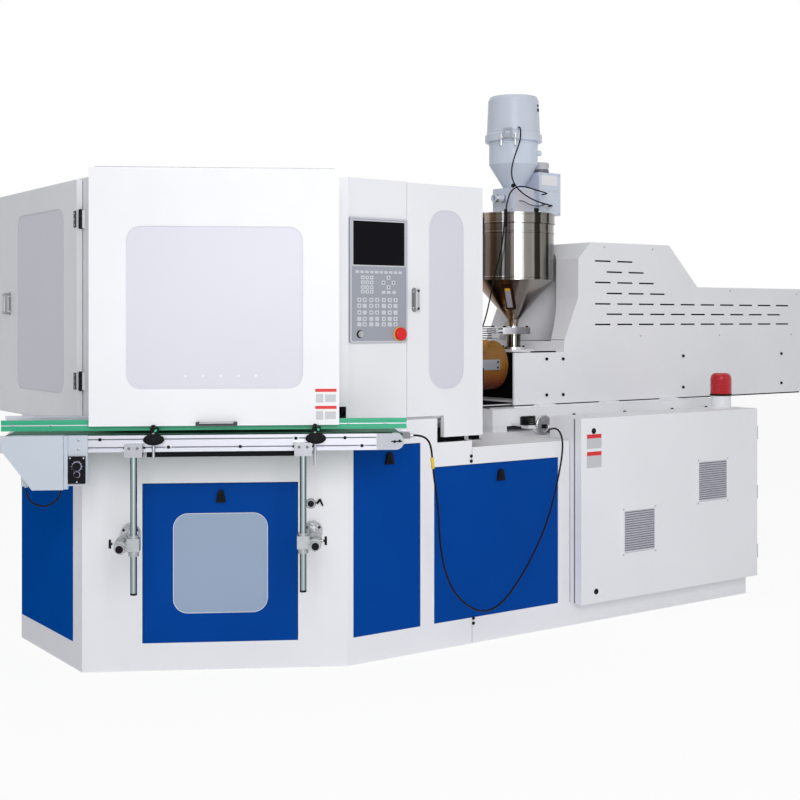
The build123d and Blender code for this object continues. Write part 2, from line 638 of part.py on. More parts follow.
def key_switch():
    """Round selector with a bar grip."""
    x, z = KEY_SWITCH
    face_y = -HALF_WIDTH - BEZEL_T
    knob = bar_y(x, face_y - 9, face_y - 0.4, z, SELECTOR_R) + bar_y(x, face_y - 1, -HALF_WIDTH + 20, z, STEM_R)
    return knob + block(x - 3, x + 3, face_y - 14, face_y - 8, z - SELECTOR_R + 2, z + SELECTOR_R - 2)


# Bed, presses and turret
def injection_bed():
    """Machined slideway bed on feet, with two rails and the round coupling at its side."""
    rear = PLINTH_END_X - 40
    left = block(BED_FRONT, rear, -BED_HALF, -BED_HALF + 130, BED_BOTTOM, BED_TOP)
    right = block(BED_FRONT, rear, BED_HALF - 130, BED_HALF, BED_BOTTOM, BED_TOP)
    pieces = [left, right]
    for x in (BED_FRONT, (BED_FRONT + rear) / 2 - 60, rear - 120):
        pieces.append(block(x, x + 120, -BED_HALF, BED_HALF, BED_BOTTOM, BED_TOP - 20))
        for y in (-BED_HALF + 10, BED_HALF - 110):
            pieces.append(block(x + 10, x + 110, y, y + 100, BED_BASE_TOP, BED_BOTTOM))
    for y in (-BED_HALF + 65, BED_HALF - 65):
        pieces.append(block(BED_FRONT + 20, rear - 20, y - RAIL_W / 2, y + RAIL_W / 2, BED_TOP, BED_TOP + RAIL_H))
    x, y, z = COUPLING
    pieces.append(bar_y(x, y + 40, -BED_HALF + 1, z, 22))
    pieces.append(bar_y(x, y, y + 40, z, 49))
    pieces.append(block(x - 95, x - 40, y + 10, y + 70, z - 18, z + 38))
    pieces.append(bar_y(PLUG[0], PLUG[1] + 10, -BED_HALF + 1, PLUG[2], 12))
    pieces.append(gland(CONVEYOR_CABLE[-1], CONVEYOR_CABLE[-2], 17, 45))
    return join(pieces)


RAIL_W = 34.0
RAIL_H = 8.0
COUPLING = (1555.0, -660.0, 993.0)
PLUG = (1632.0, -680.0, 968.0)


def press_frame():
    """Lower half of one press: bolster, tie bars, top crosshead, cylinder and lower mould."""
    wings = block(PLATEN_INNER, PLATEN_OUTER, -PLATEN_HALF, PLATEN_HALF, TURRET_TOP, 1150)
    bolster = block(260, PLATEN_OUTER, -MOULD_HALF - 30, MOULD_HALF + 30, TURRET_TOP, 1200)
    part_line = CORE_Z - CLOSE_DROP
    mould = block(MOULD_INNER, MOULD_OUTER, -MOULD_HALF, MOULD_HALF, 1199, part_line)
    for index in range(CORE_COUNT):
        y = (index - (CORE_COUNT - 1) / 2) * CORE_PITCH
        mould = mould - bar_x(MOULD_INNER - 1, MOULD_OUTER - 30, y, part_line, CAVITY_R)
    crosshead = block(PLATEN_INNER, PLATEN_OUTER, -PLATEN_HALF, PLATEN_HALF,
                      CROSSHEAD_BOTTOM, CROSSHEAD_BOTTOM + CROSSHEAD_THICK)
    centre = (PLATEN_INNER + PLATEN_OUTER) / 2
    cylinder = rod(centre, 0, CROSSHEAD_BOTTOM + CROSSHEAD_THICK, ENCLOSURE_TOP - ROOF - 12, 95)
    pieces = [bolster, wings, mould, crosshead, cylinder]
    for x in (TIE_INNER, TIE_OUTER):
        for y in (-TIE_SIDE, TIE_SIDE):
            pieces.append(rod(x, y, 1140, CROSSHEAD_BOTTOM + CROSSHEAD_THICK + 20, TIE_R))
    return join(pieces) - rod(centre, 0, CROSSHEAD_BOTTOM - 1, ENCLOSURE_TOP - ROOF - 30, RAM_R + RUNNING)


def press_frames():
    """The injection press, the blow press and the stripper's guide posts."""
    injection = press_frame()
    manifold = block(MOULD_OUTER, 603, -230, 230, 1199, 1330)
    injection = injection + manifold
    blow = at_station(press_frame(), 120)
    posts = []
    for y in (-330, 330):
        post = block(520, 560, y - 20, y + 20, TURRET_TOP, STRIP_Z + 30)
        posts.append(at_station(post, -120))
    for y in (-330, 330):
        guide = bar_x(300, 540, y, STRIP_Z, 12)
        posts.append(at_station(guide, -120))
    tie = at_station(block(520, 560, -330, 330, TURRET_TOP, TURRET_TOP + 40), -120)
    return injection, blow, join(posts + [tie])


STRIP_Z = 1320.0


def stripper_comb():
    """Comb that draws the bottles off the core rods, on its two guide bars."""
    comb = block(490, 508, -290, 290, STRIP_Z + 30, 1500)
    for index in range(CORE_COUNT):
        y = (index - (CORE_COUNT - 1) / 2) * CORE_PITCH
        comb = comb - block(489, 509, y - 15, y + 15, STRIP_Z + 40, 1440)
    beam = block(484, 512, -355, 355, STRIP_Z - 22, STRIP_Z + 30)
    comb = comb + beam
    for y in (-330, 330):
        comb = comb - bar_x(480, 520, y, STRIP_Z, 12 + RUNNING)
    return at_station(comb, -120)


def upper_moulds():
    """Moving platens with the upper mould halves and rams of both presses."""
    part_line = CORE_Z + CLOSE_DROP
    centre = (PLATEN_INNER + PLATEN_OUTER) / 2
    mould = block(MOULD_INNER, MOULD_OUTER, -MOULD_HALF, MOULD_HALF, part_line, part_line + 160)
    for index in range(CORE_COUNT):
        y = (index - (CORE_COUNT - 1) / 2) * CORE_PITCH
        mould = mould - bar_x(MOULD_INNER - 1, MOULD_OUTER - 30, y, part_line, CAVITY_R)
    platen = block(PLATEN_INNER, PLATEN_OUTER, -PLATEN_HALF, PLATEN_HALF, part_line + 160,
                   part_line + 160 + PLATEN_THICK)
    ram = rod(centre, 0, part_line + 160, CROSSHEAD_BOTTOM + 140, RAM_R)
    whole = mould + platen + ram
    for x in (TIE_INNER, TIE_OUTER):
        for y in (-TIE_SIDE, TIE_SIDE):
            whole = whole - rod(x, y, part_line, part_line + 400, TIE_R + RUNNING)
    return whole, at_station(whole, 120)


def index_head():
    """Three-sided turret head on its spindle, with a row of core rods on each side."""
    side = 2 * HEAD_INRADIUS * math.sqrt(3)
    radius = side / math.sqrt(3)
    points = [(radius * math.cos(math.radians(a)), radius * math.sin(math.radians(a))) for a in (60, 180, 300)]
    head = plan(points, CORE_Z - HEAD_THICK / 2, CORE_Z + HEAD_THICK / 2)
    head = head & rod(0, 0, CORE_Z - HEAD_THICK, CORE_Z + HEAD_THICK, radius - 40)
    pieces = [head, rod(0, 0, CORE_Z + HEAD_THICK / 2 - 1, CORE_Z + HEAD_CAP, 110)]
    for angle in (0, 120, 240):
        for index in range(CORE_COUNT):
            y = (index - (CORE_COUNT - 1) / 2) * CORE_PITCH
            core = bar_x(HEAD_INRADIUS - 1, HEAD_INRADIUS + CORE_LENGTH, y, CORE_Z, CORE_R)
            collar = bar_x(HEAD_INRADIUS - 1, HEAD_INRADIUS + 16, y, CORE_Z, CORE_R + 8)
            pieces.append(at_station(core + collar, angle))
    return join(pieces) - rod(0, 0, CORE_Z - HEAD_THICK, CORE_Z + HEAD_CAP - 12, PIN_R + RUNNING)


def turret_spindle():
    """Lifting spindle with the shoulder and pin that the head turns on."""
    shoulder = CORE_Z - HEAD_THICK / 2 - 0.3
    quill = rod(0, 0, 900, shoulder, SPINDLE_R)
    return quill + rod(0, 0, shoulder - 1, CORE_Z + HEAD_CAP - 13, PIN_R)


def power_pack():
    """Hydraulic tank with its motor, pump and filter in the injection base."""
    tank = block(1500, 2500, -120, 620, FLOOR_PLATE, 430)
    motor = bar_x(1600, 2000, 120, 600, 130)
    foot = block(1640, 1960, 0, 240, 429, 500)
    bell = bar_x(1999, 2090, 120, 600, 90)
    pump = bar_x(2089, 2250, 120, 600, 70)
    filler = rod(2380, 500, 429, 520, 45)
    return join([tank, motor, foot, bell, pump, filler])


# Conveyor
def conveyor_frame():
    """Two slotted beams with end plates and cross ties, rear guide rail and rail brackets."""
    pieces = []
    for o0 in (BEAM_OUT - BEAM_T, BEAM_BACK):
        beam = front_block(CONV_LEFT + 30, CONV_RIGHT - 80, o0, o0 + BEAM_T, BEAM_BOTTOM, BEAM_BOTTOM + BEAM_H)
        outer = o0 + BEAM_T if o0 > 100 else o0
        for z in (BEAM_BOTTOM + 18, BEAM_BOTTOM + 52):
            slot = front_block(CONV_LEFT, CONV_RIGHT, outer - 6, outer + 6, z - 4, z + 4)
            beam = beam - slot
        pieces.append(beam)
    for o0 in (BEAM_OUT - BEAM_T + 4, BEAM_BACK):
        depth = BEAM_T - 4
        for s0, s1 in ((CONV_LEFT - 30, CONV_LEFT + 60), (CONV_RIGHT - 82, CONV_RIGHT)):
            pieces.append(front_block(s0, s1, o0, o0 + depth, BEAM_BOTTOM, BEAM_BOTTOM + BEAM_H))
        pieces.append(front_bar(CONV_RIGHT, o0, o0 + depth, BEAM_BOTTOM + BEAM_H / 2, BEAM_H / 2))
        pieces.append(front_bar(CONV_LEFT - 30, o0, o0 + depth, BEAM_BOTTOM + BEAM_H / 2, BEAM_H / 2))
    for s in (40, 360, 680, 1000, 1220):
        pieces.append(front_block(s - 20, s + 20, BEAM_BACK + BEAM_T - 1, BEAM_OUT - BEAM_T + 1,
                                  BEAM_BOTTOM + 14, BEAM_BOTTOM + 50))
    pieces.append(front_block(CONV_LEFT + 90, CONV_RIGHT - 110, BEAM_BACK + BEAM_T + 4, BEAM_OUT - BEAM_T - 4,
                              BEAM_BOTTOM + 49, BELT_Z - BELT_T - 0.3))
    rear = front_block(-325, 1120, 9, 15, 1082, 1131)
    for z0 in (1082, 1119):
        rear = rear + front_block(-325, 1120, 9, 20, z0, z0 + 12)
    pieces.append(rear)
    for s in (-180, 300, 760, 1080):
        pieces.append(front_block(s - 12, s + 12, 6, 12, BEAM_BOTTOM + BEAM_H - 5, 1100))
    for s, low in RAIL_RODS:
        pieces.append(front_rod(s, BEAM_OUT + 12, low, RAIL_ARM_Z + 14, 6))
        pieces.append(front_block(s - 26, s + 26, BEAM_OUT - 1, BEAM_OUT + 22, 1038, 1068))
        pieces.append(front_block(s - 10, s + 22, BEAM_OUT, BEAM_OUT + 24, RAIL_ARM_Z - 10, RAIL_ARM_Z + 10))
    pieces.append(front_block(CONV_RIGHT + 20, SENSOR_S, BEAM_BACK, BEAM_BACK + 7, 1018, 1058))
    pieces.append(front_block(SENSOR_S - 34, SENSOR_S, BEAM_BACK, 120, 1028, 1052))
    pieces.append(gland(CONVEYOR_CABLE[0], CONVEYOR_CABLE[1], 9, 20))
    whole = join(pieces)
    for s, low in RAIL_RODS:
        whole = whole - front_bar(s + RAIL_ARM_SIDE, BEAM_OUT - 1, BEAM_OUT + 25, RAIL_ARM_Z, RAIL_ARM_R + RUNNING)
    for s in (CONV_LEFT, CONV_RIGHT):
        whole = whole - front_bar(s, BEAM_BACK - 1, BEAM_OUT + 1, AXLE_Z, 8 + RUNNING)
    return whole


SENSOR_S = 1438.0
RAIL_RODS = ((341.0, 975.0), (1013.0, 940.0))
RAIL_ARM_Z = 1092.0
RAIL_ARM_SIDE = 13.0
RAIL_ARM_R = 5.0
RAIL_ARM_END = 386.0
RAIL_S0 = -288.0
RAIL_S1 = 1405.0


def front_guide_rail():
    """Front guide rail: steel back with two green lips, on two short arms."""
    rail = front_block(RAIL_S0, RAIL_S1, 286, 291, 1088, 1129)
    for z0 in (1086, 1121):
        rail = rail + front_block(RAIL_S0, RAIL_S1, 278, 294, z0 + 1, z0 + 11)
    for s, low in RAIL_RODS:
        rail = rail + front_bar(s + RAIL_ARM_SIDE, 290, RAIL_ARM_END, RAIL_ARM_Z, RAIL_ARM_R)
    return rail


def belt_loop():
    """Belt round the two rollers."""
    half = ROLLER_R + BELT_T
    z = AXLE_Z
    o0 = BEAM_BACK + BEAM_T + 3
    o1 = BEAM_OUT - BEAM_T - 3
    outer = front_block(CONV_LEFT, CONV_RIGHT, o0, o1, z - half, z + half)
    inner = front_block(CONV_LEFT, CONV_RIGHT, o0 - 1, o1 + 1, z - ROLLER_R - 0.15, z + ROLLER_R + 0.15)
    for s in (CONV_LEFT, CONV_RIGHT):
        outer = outer + front_bar(s, o0, o1, z, half)
        inner = inner + front_bar(s, o0 - 1, o1 + 1, z, ROLLER_R + 0.15)
    return outer - inner


def roller(s):
    """Conveyor roller with its journals."""
    drum = front_bar(s, BEAM_BACK + BEAM_T + 2, BEAM_OUT - BEAM_T - 2, AXLE_Z, ROLLER_R)
    return drum + front_bar(s, BEAM_BACK + 4, BEAM_OUT - 6, AXLE_Z, 8)


def conveyor_posts():
    """Clamp blocks under the front beam and the two height posts."""
    pieces = []
    for s in (POST_LEFT, POST_RIGHT):
        post = front_rod(s, POST_OUT, POST_BOTTOM, 985, POST_R)
        head = front_block(s - 37, s + 37, BEAM_OUT, POST_OUT + 20, 980, 1036)
        pieces.append(post + head)
    return pieces


def conveyor_brackets():
    """Wall flanges with stub tubes, end caps and the cross clamps that grip the posts."""
    solids = []
    for stub_s, post_s in ((STUB_LEFT, POST_LEFT), (STUB_RIGHT, POST_RIGHT)):
        away = -1 if stub_s < post_s else 1
        flange = front_bar(stub_s, 0, 12, STUB_Z, 45)
        stub = front_bar(stub_s, 11, STUB_END, STUB_Z, STUB_R)
        cap = front_bar(stub_s, STUB_END - 1, STUB_END + 12, STUB_Z, STUB_R + 3)
        ring = front_bar(stub_s, 246, 272, STUB_Z, STUB_R + 17)
        sleeve = front_rod(post_s, POST_OUT, STUB_Z - 39, STUB_Z + 48, POST_R + 8)
        grasp = front_block(post_s - 26, post_s + 26, POST_OUT - 26, POST_OUT + 26, STUB_Z - 18, STUB_Z + 36)
        eye = front_bar(stub_s, POST_OUT - 32, POST_OUT + 32, STUB_Z, STUB_R + 10)
        web = front_block(min(stub_s, post_s), max(stub_s, post_s), POST_OUT - 18, POST_OUT + 18,
                          STUB_Z - 18, STUB_Z + 20)
        screw_s = stub_s + away * TEE_REACH
        shank = front_along(min(screw_s, stub_s), max(screw_s, stub_s), POST_OUT, STUB_Z + 12, 5)
        tee = front_rod(screw_s, POST_OUT, STUB_Z - 6, STUB_Z + 30, 5)
        whole = join([flange, stub, cap, ring, sleeve, grasp, eye, web, shank, tee])
        solids.append(whole - front_rod(post_s, POST_OUT, STUB_Z - 60, STUB_Z + 60, POST_R + RUNNING))
    return solids


def drive_cover():
    """Folded cover over the conveyor's drive, with the plate that carries the speed control."""
    plane = front_plane(BEAM_OUT)
    with BuildSketch() as face:
        with BuildLine():
            Polyline((-233, 1073), (-23, 1073), (-23, 850), (-149, 850), (-273, 1015), (-269, 1042), (-233, 1073))
        make_face()
    box = extrude(plane * face.sketch, 46)
    box = box - extrude(plane * offset(face.sketch, -2.5, kind=Kind.INTERSECTION), 43)
    side = front_block(-8, 71, BEAM_OUT, BEAM_OUT + 8, 862, 1071)
    strip = front_block(-23, -8, BEAM_OUT, BEAM_OUT + 24, 850, 1071)
    boss = front_block(-200, -60, BEAM_OUT, BEAM_OUT + 10, 1010, 1060)
    gearbox = front_block(-200, -34, 90, BEAM_OUT + 4, GEARBOX_BOTTOM, 985)
    seats = [gland(DRIVE_CABLE[0], DRIVE_CABLE[1], 7, 12), gland(DRIVE_CABLE[-1], DRIVE_CABLE[-2], 7, 12)]
    return join([box, side, strip, boss, gearbox] + seats)


GEARBOX_BOTTOM = 862.0
KNOB = (29.0, 944.0)
SWITCH = (29.0, 910.0)


def speed_control():
    """Black control plate of the conveyor with its screws."""
    plate = front_block(-6, 63, BEAM_OUT + 8, BEAM_OUT + 20, 872, 985)
    for s, z in (KNOB, SWITCH):
        plate = plate - front_bar(s, BEAM_OUT + 8, BEAM_OUT + 21, z, 4 + RUNNING)
    return plate


def turn_knob(place, radius, height):
    """A round knob on its spindle."""
    s, z = place
    body = front_bar(s, BEAM_OUT + 20.4, BEAM_OUT + 20 + height, z, radius)
    spindle = front_bar(s, BEAM_OUT + 10, BEAM_OUT + 21, z, 4)
    pointer = front_block(s - 1.5, s + 1.5, BEAM_OUT + 19 + height, BEAM_OUT + 22 + height, z, z + radius - 1)
    return join([body, spindle, pointer])


# Injection unit
TERMINAL_TOP = 1440.0
FIN_COUNT = 6
FIN_PITCH = 13.0
FIN_END = 1665.0
FEED_X0 = 1800.0
FEED_X1 = 1990.0
SCREW_R = 25.0
PULL_SIDE = HOUSING_HALF - 131.0
CROSSHEAD_HALF = HOUSING_HALF - 51.0
PULL_R = 20.0
PULL_INNER = 2060.0
SHOES = (1760.0, 2260.0, 2760.0)


def barrel():
    """Plasticising barrel with flange and nozzle."""
    tube = bar_x(720, FEED_X0, 0, BARREL_Z, 62)
    cone = Pos(720, 0, BARREL_Z) * Rot(0, -90, 0) * Cone(62, 28, 60, align=(Align.CENTER, Align.CENTER, Align.MIN))
    tip = bar_x(603.3, 661, 0, BARREL_Z, 22)
    flange = bar_x(FEED_X0 - 40, FEED_X0, 0, BARREL_Z, 76)
    whole = join([tube, cone, tip, flange])
    whole = whole - bar_x(690, FEED_X0 + 1, 0, BARREL_Z, SCREW_R + RUNNING)
    return whole - bar_x(600, 691, 0, BARREL_Z, 5)


def barrel_cover():
    """Rolled guard round the heated barrel with its seam plate and cooling fins."""
    outer = bar_x(760, 1745, 0, BARREL_Z, COVER_R)
    shell = outer - bar_x(759, 1740, 0, BARREL_Z, COVER_R - 3) - bar_x(1739, 1746, 0, BARREL_Z, 70)
    strip = block(780, 1720, -COVER_R - 4, -COVER_R + 6, BARREL_Z - 22, BARREL_Z + 22)
    shell = shell + strip
    for index in range(FIN_COUNT):
        z = BARREL_Z + COVER_R + 12 + index * FIN_PITCH
        shell = shell + block(1250, FIN_END, -90, 90, z, z + 5)
    shell = shell + block(1300, 1640, -14, 14, BARREL_Z + COVER_R - 4, BARREL_Z + COVER_R + 80)
    shell = shell + block(1505, 1575, -165, -105, 1370, TERMINAL_TOP)
    return shell + gland(VALVE_CABLE[-1], VALVE_CABLE[-2], 8, 12)


def screw():
    """Plasticising screw with its pointed tip and drive end."""
    shaft = bar_x(760, 2300, 0, BARREL_Z, SCREW_R - 0.02)
    tip = Pos(760, 0, BARREL_Z) * Rot(0, -90, 0) * Cone(SCREW_R - 0.02, 4, 60,
                                                       align=(Align.CENTER, Align.CENTER, Align.MIN))
    return shaft + tip


def drive_motor():
    """Injection crosshead with the screw's hydraulic motor and its two pull rods."""
    plate = block(2300.3, 2380, -CROSSHEAD_HALF, CROSSHEAD_HALF, 1110, 1400)
    motor = bar_x(2379, 2800, 0, BARREL_Z, 130)
    rear = bar_x(2799, 2900, 0, BARREL_Z, 85)
    pieces = [plate, motor, rear]
    for y in (-PULL_SIDE, PULL_SIDE):
        pieces.append(bar_x(PULL_INNER, 2301, y, BARREL_Z, PULL_R))
    return join(pieces)


def injection_housing():
    """Carriage weldment of side plates, floor, feed block and end plates, and the drip tray with its shield."""
    pieces = []
    for sign in (-1, 1):
        y0 = min(sign * HOUSING_HALF, sign * (HOUSING_HALF - PLATE))
        y1 = max(sign * HOUSING_HALF, sign * (HOUSING_HALF - PLATE))
        pieces.append(block(HOUSING_FRONT, HOUSING_END, y0, y1, HOUSING_BOTTOM, HOUSING_LOW_TOP))
        pieces.append(block(HOOD_FRONT, HOUSING_END, y0, y1, HOUSING_LOW_TOP - 1, HOUSING_TOP))
    inner = HOUSING_HALF - PLATE + 1
    pieces.append(block(1700, HOUSING_END, -inner, inner, HOUSING_BOTTOM, HOUSING_BOTTOM + 16))
    pieces.append(block(FEED_X0, FEED_X1, -inner, inner, HOUSING_BOTTOM, HOUSING_LOW_TOP))
    pieces.append(block(HOUSING_END - PLATE, HOUSING_END, -inner, inner, HOUSING_BOTTOM, HOUSING_TOP))
    pieces.append(block(HOOD_FRONT, HOOD_FRONT + PLATE, -inner, inner, HOUSING_LOW_TOP - 1, HOUSING_TOP))
    pan = block(PAN_FRONT, 1700, -PAN_HALF, PAN_HALF, HOUSING_BOTTOM, HOUSING_BOTTOM + PAN_T)
    shield = block(PAN_FRONT, HOUSING_FRONT + PAN_T, PAN_HALF - PAN_T, PAN_HALF, HOUSING_BOTTOM, SHIELD_TOP)
    web = block(HOUSING_FRONT, HOUSING_FRONT + PAN_T, PAN_HALF - PAN_T, HOUSING_HALF - PLATE, HOUSING_BOTTOM,
                HOUSING_LOW_TOP)
    pieces.append(block(FEED_X0, FEED_X1 - 20, -110, 110, HOUSING_LOW_TOP - 1, HOUSING_LOW_TOP + 11))
    for y in (-PULL_SIDE, PULL_SIDE):
        pieces.append(bar_x(FEED_X1 - 1, 2290, y, BARREL_Z, 60))
    for y in (-BED_HALF + 65, BED_HALF - 65):
        for x in SHOES:
            pieces.append(block(x, x + 120, y - 45, y + 45, BED_TOP + RAIL_H + 0.3 - 8, HOUSING_BOTTOM + 1))
    whole = join(pieces)
    whole = whole - bar_x(FEED_X0 - 1, FEED_X1 + 1, 0, BARREL_Z, SCREW_R + RUNNING)
    for y in (-PULL_SIDE, PULL_SIDE):
        whole = whole - bar_x(PULL_INNER - 10, 2291, y, BARREL_Z, PULL_R + RUNNING)
    whole = whole - rod(HOPPER_X, 0, BARREL_Z, HOUSING_TOP, 30)
    for y in (-BED_HALF + 65, BED_HALF - 65):
        slot = RAIL_W / 2 + 0.3
        whole = whole - block(1700, 3200, y - slot, y + slot, BED_TOP - 1, BED_TOP + RAIL_H + 0.3)
    return whole, join([pan, shield, web])


HOOD_FRONT = 1984.0
PAN_FRONT = 905.0
PAN_HALF = 300.0
PAN_T = 5.0
SHIELD_TOP = 1440.0
HOOD = [(HOOD_FRONT, HOUSING_TOP), (HOUSING_END, HOUSING_TOP), (HOUSING_END, 1755), (3098, 1753), (2844, 2004),
        (2191, 2001), (2096, 1906), (2094, 1677)]
SLOT_ROWS = ((1894, 2227, 2), (1831, 2321, 2), (1769, 2227, 3), (1706, 2321, 3),
             (1644, 2227, 10), (1584, 2321, 9), (1524, 2227, 10))
SLOT_PITCH = 180.0
SLOT_L = 126.0
SLOT_H = 9.0
HOPPER_ROOM = 14.0


def drive_hood():
    """Slotted sheet hood over the injection drive, with a round recess behind the hopper."""
    outline = Polygon(*HOOD, align=None)
    plane = side_plane(HOUSING_HALF)
    solid = extrude(plane * outline, 2 * HOUSING_HALF)
    around_hopper = rod(HOPPER_X, 0, HOUSING_TOP, 2010, HOPPER_R + HOPPER_ROOM + 3) & solid
    inner_plane = side_plane(HOUSING_HALF - 3)
    mouth = Pos((HOOD_FRONT + HOUSING_END) / 2, HOUSING_TOP) * Rectangle(HOUSING_END - HOOD_FRONT - 6, 20)
    inner_outline = offset(outline, -3, kind=Kind.INTERSECTION) + mouth
    solid = solid - extrude(inner_plane * inner_outline, 2 * HOUSING_HALF - 6)
    solid = (solid + around_hopper) - rod(HOPPER_X, 0, HOUSING_TOP - 1, 2011, HOPPER_R + HOPPER_ROOM)
    cuts = []
    for z, x0, count in SLOT_ROWS:
        for index in range(count):
            x = x0 + index * SLOT_PITCH
            if x + SLOT_L < HOUSING_END - 40:
                cuts.append(slab(side_plane(HOUSING_HALF + 1), x, x + SLOT_L, z - SLOT_H / 2, z + SLOT_H / 2,
                                 2 * HOUSING_HALF + 2))
    for cut in cuts:
        solid = solid - cut
    return solid


def revolve_profile(x, points):
    """A turned piece about a vertical axis at (x, 0)."""
    with BuildSketch(Plane.XZ) as profile:
        with BuildLine():
            Polyline(*points, close=True)
        make_face()
    return Pos(x, 0, 0) * revolve(profile.sketch, Axis.Z)


GATE_Z = 1468.0
GATE_T = 39.0
GATE_END = 76.0
GATE_LEFT = 130.0
GATE_HALF = 62.0
CONE_TOP = 1782.0
NECK_BORE = 24.0
NECK_FOOT = 1378.0


def hopper():
    """Stainless hopper bowl with rolled ring and cone, its gate housing, and the flanged neck below."""
    wall = 2.5
    outer = [(26, 1512), (34, 1552), (HOPPER_R, CONE_TOP), (HOPPER_R, 2104), (RING_R, 2106), (RING_R, 2169),
             (60, 2169), (60, 2160), (HOPPER_R - wall, 2160), (HOPPER_R - wall, CONE_TOP + 1), (34 - wall, 1553.5),
             (22, 1512)]
    bowl = revolve_profile(HOPPER_X, outer)
    collar = rod(HOPPER_X, 0, GATE_Z + GATE_T, 1520, 30)
    bowl = (bowl + collar) - rod(HOPPER_X, 0, GATE_Z, 1530, NECK_BORE)
    left = HOPPER_X - GATE_LEFT
    right = HOPPER_X + GATE_END + 2
    gate = block(left, right, -GATE_HALF, GATE_HALF, GATE_Z, GATE_Z + GATE_T)
    gate = gate - block(left - 1, right + 1, -41, 41, GATE_Z + 13, GATE_Z + 26)
    gate = gate - rod(HOPPER_X, 0, GATE_Z - 1, GATE_Z + GATE_T + 1, NECK_BORE)
    neck = rod(HOPPER_X, 0, NECK_FOOT, GATE_Z, 42) + rod(HOPPER_X, 0, NECK_FOOT, NECK_FOOT + 14, 76)
    return bowl, gate, neck - rod(HOPPER_X, 0, NECK_FOOT - 1, GATE_Z + 1, NECK_BORE)


def slide_gate():
    """Shut-off slide of the hopper with its pull, and the hole that meets the neck."""
    blade = block(HOPPER_X - 150, HOPPER_X + GATE_END, -40.6, 40.6, GATE_Z + 13.3, GATE_Z + 25.7)
    blade = blade - rod(HOPPER_X, 0, GATE_Z, GATE_Z + GATE_T, NECK_BORE)
    return blade + block(HOPPER_X - 158, HOPPER_X - 148, -40.6, 40.6, GATE_Z + 5, GATE_Z + 34)


def loader_receiver():
    """Base box, cone and cylinder of the vacuum loader with its suction stub."""
    half = 86.0
    base = block(LOADER_X - half, LOADER_X + half, -half, half, 2176, 2321)
    foot = block(LOADER_X - half - 8, LOADER_X + half + 8, -half - 8, half + 8, 2169, 2177)
    bowl = revolve_profile(LOADER_X, [(0, 2320), (56, 2320), (143, 2460), (143, 2592), (163, 2592), (163, CAP_Z),
                                      (140, CAP_Z), (140, 2461), (52, 2326), (0, 2326)])
    stub = bar_x(LOADER_X - half - 90, LOADER_X - half + 1, -30, 2256, 19)
    bore = bar_x(LOADER_X - half - 91, LOADER_X - half - 4, -30, 2256, 16)
    bead = bar_x(LOADER_X - half - 90, LOADER_X - half - 80, -30, 2256, 23)
    band = revolve_profile(LOADER_X, [(162, 2596), (167, 2596), (167, 2632), (163.3, 2632), (163.3, CAP_Z),
                                      (162, CAP_Z)])
    seat = gland(SENSOR_CABLE[0], SENSOR_CABLE[1], 5, 8)
    return (join([base, foot, bowl, stub, bead, seat, band]) - bore) + latch_seat()


def loader_cap():
    """Blower cap of the loader, closed by a band clamp."""
    shell = revolve_profile(LOADER_X, [(0, CAP_Z), (163, CAP_Z), (163, 2634), (156, 2645), (148, 2836), (138, 2857),
                                       (0, 2857)])
    return shell + gland(POWER_CABLE[0], POWER_CABLE[1], 8, 30)


CAP_Z = 2610.0
LATCH_ANGLE = -140.0
LATCH_PIN = (188.0, 2604.0)


def loader_latch():
    """Over-centre wire latch of the band clamp."""
    reach, z = LATCH_PIN
    lever = block(reach - 5, reach + 5, -26, 26, z - 6, z + 52) - block(reach - 6, reach + 6, -18, 18, z + 8, z + 44)
    hub = bar_y(reach, -26, 26, z, 7)
    latch_piece = (lever + hub) - bar_y(reach, -27, 27, z, 4 + RUNNING)
    return Pos(LOADER_X, 0, 0) * at_station(latch_piece, LATCH_ANGLE)


def latch_seat():
    """Two ears on the receiver's rim that carry the latch's pin."""
    reach, z = LATCH_PIN
    pieces = [bar_y(reach, -36, 36, z, 4)]
    for y in (-36, 28):
        pieces.append(block(150, reach + 7, y, y + 8, z - 7, z + 6))
    return Pos(LOADER_X, 0, 0) * at_station(join(pieces), LATCH_ANGLE)


def loader_control_box():
    """Control box of the loader on its bracket, with the filter bowl on top."""
    box = block(2026, 2196, CONTROL_FRONT, 41, 2171, 2421)
    bracket = block(LOADER_X + 86.3, 2027, -60, -20, 2190, 2300)
    bowl = rod(2093, -31, 2420, 2480, 43)
    seats = [gland(VALVE_CABLE[0], VALVE_CABLE[1], 8, 8), gland(SENSOR_CABLE[-1], SENSOR_CABLE[-2], 6, 8),
             gland(POWER_CABLE[-1], POWER_CABLE[-2], 8, 8)]
    return join([box, bracket, bowl] + seats)


# Cables
def cable(points, radius, name):
    """A cable of straight runs joined by tangent arcs; prints its smallest radius."""
    vectors = [Vector(*point) for point in points]
    radii = []
    for before, corner, after in zip(vectors, vectors[1:], vectors[2:]):
        turn = math.radians((corner - before).get_angle(after - corner))
        shorter = min((corner - before).length, (after - corner).length)
        radii.append(0.45 * shorter / math.tan(turn / 2))
    path = FilletPolyline(*points, radius=radii)
    start = Plane(origin=vectors[0], z_dir=vectors[1] - vectors[0])
    tube = sweep(start * Circle(radius), path=path)
    print(name, "radii", [round(r) for r in radii], "length", round(path.length),
          "volume ratio", round(tube.volume / (math.pi * radius ** 2 * path.length), 4))
    return tube


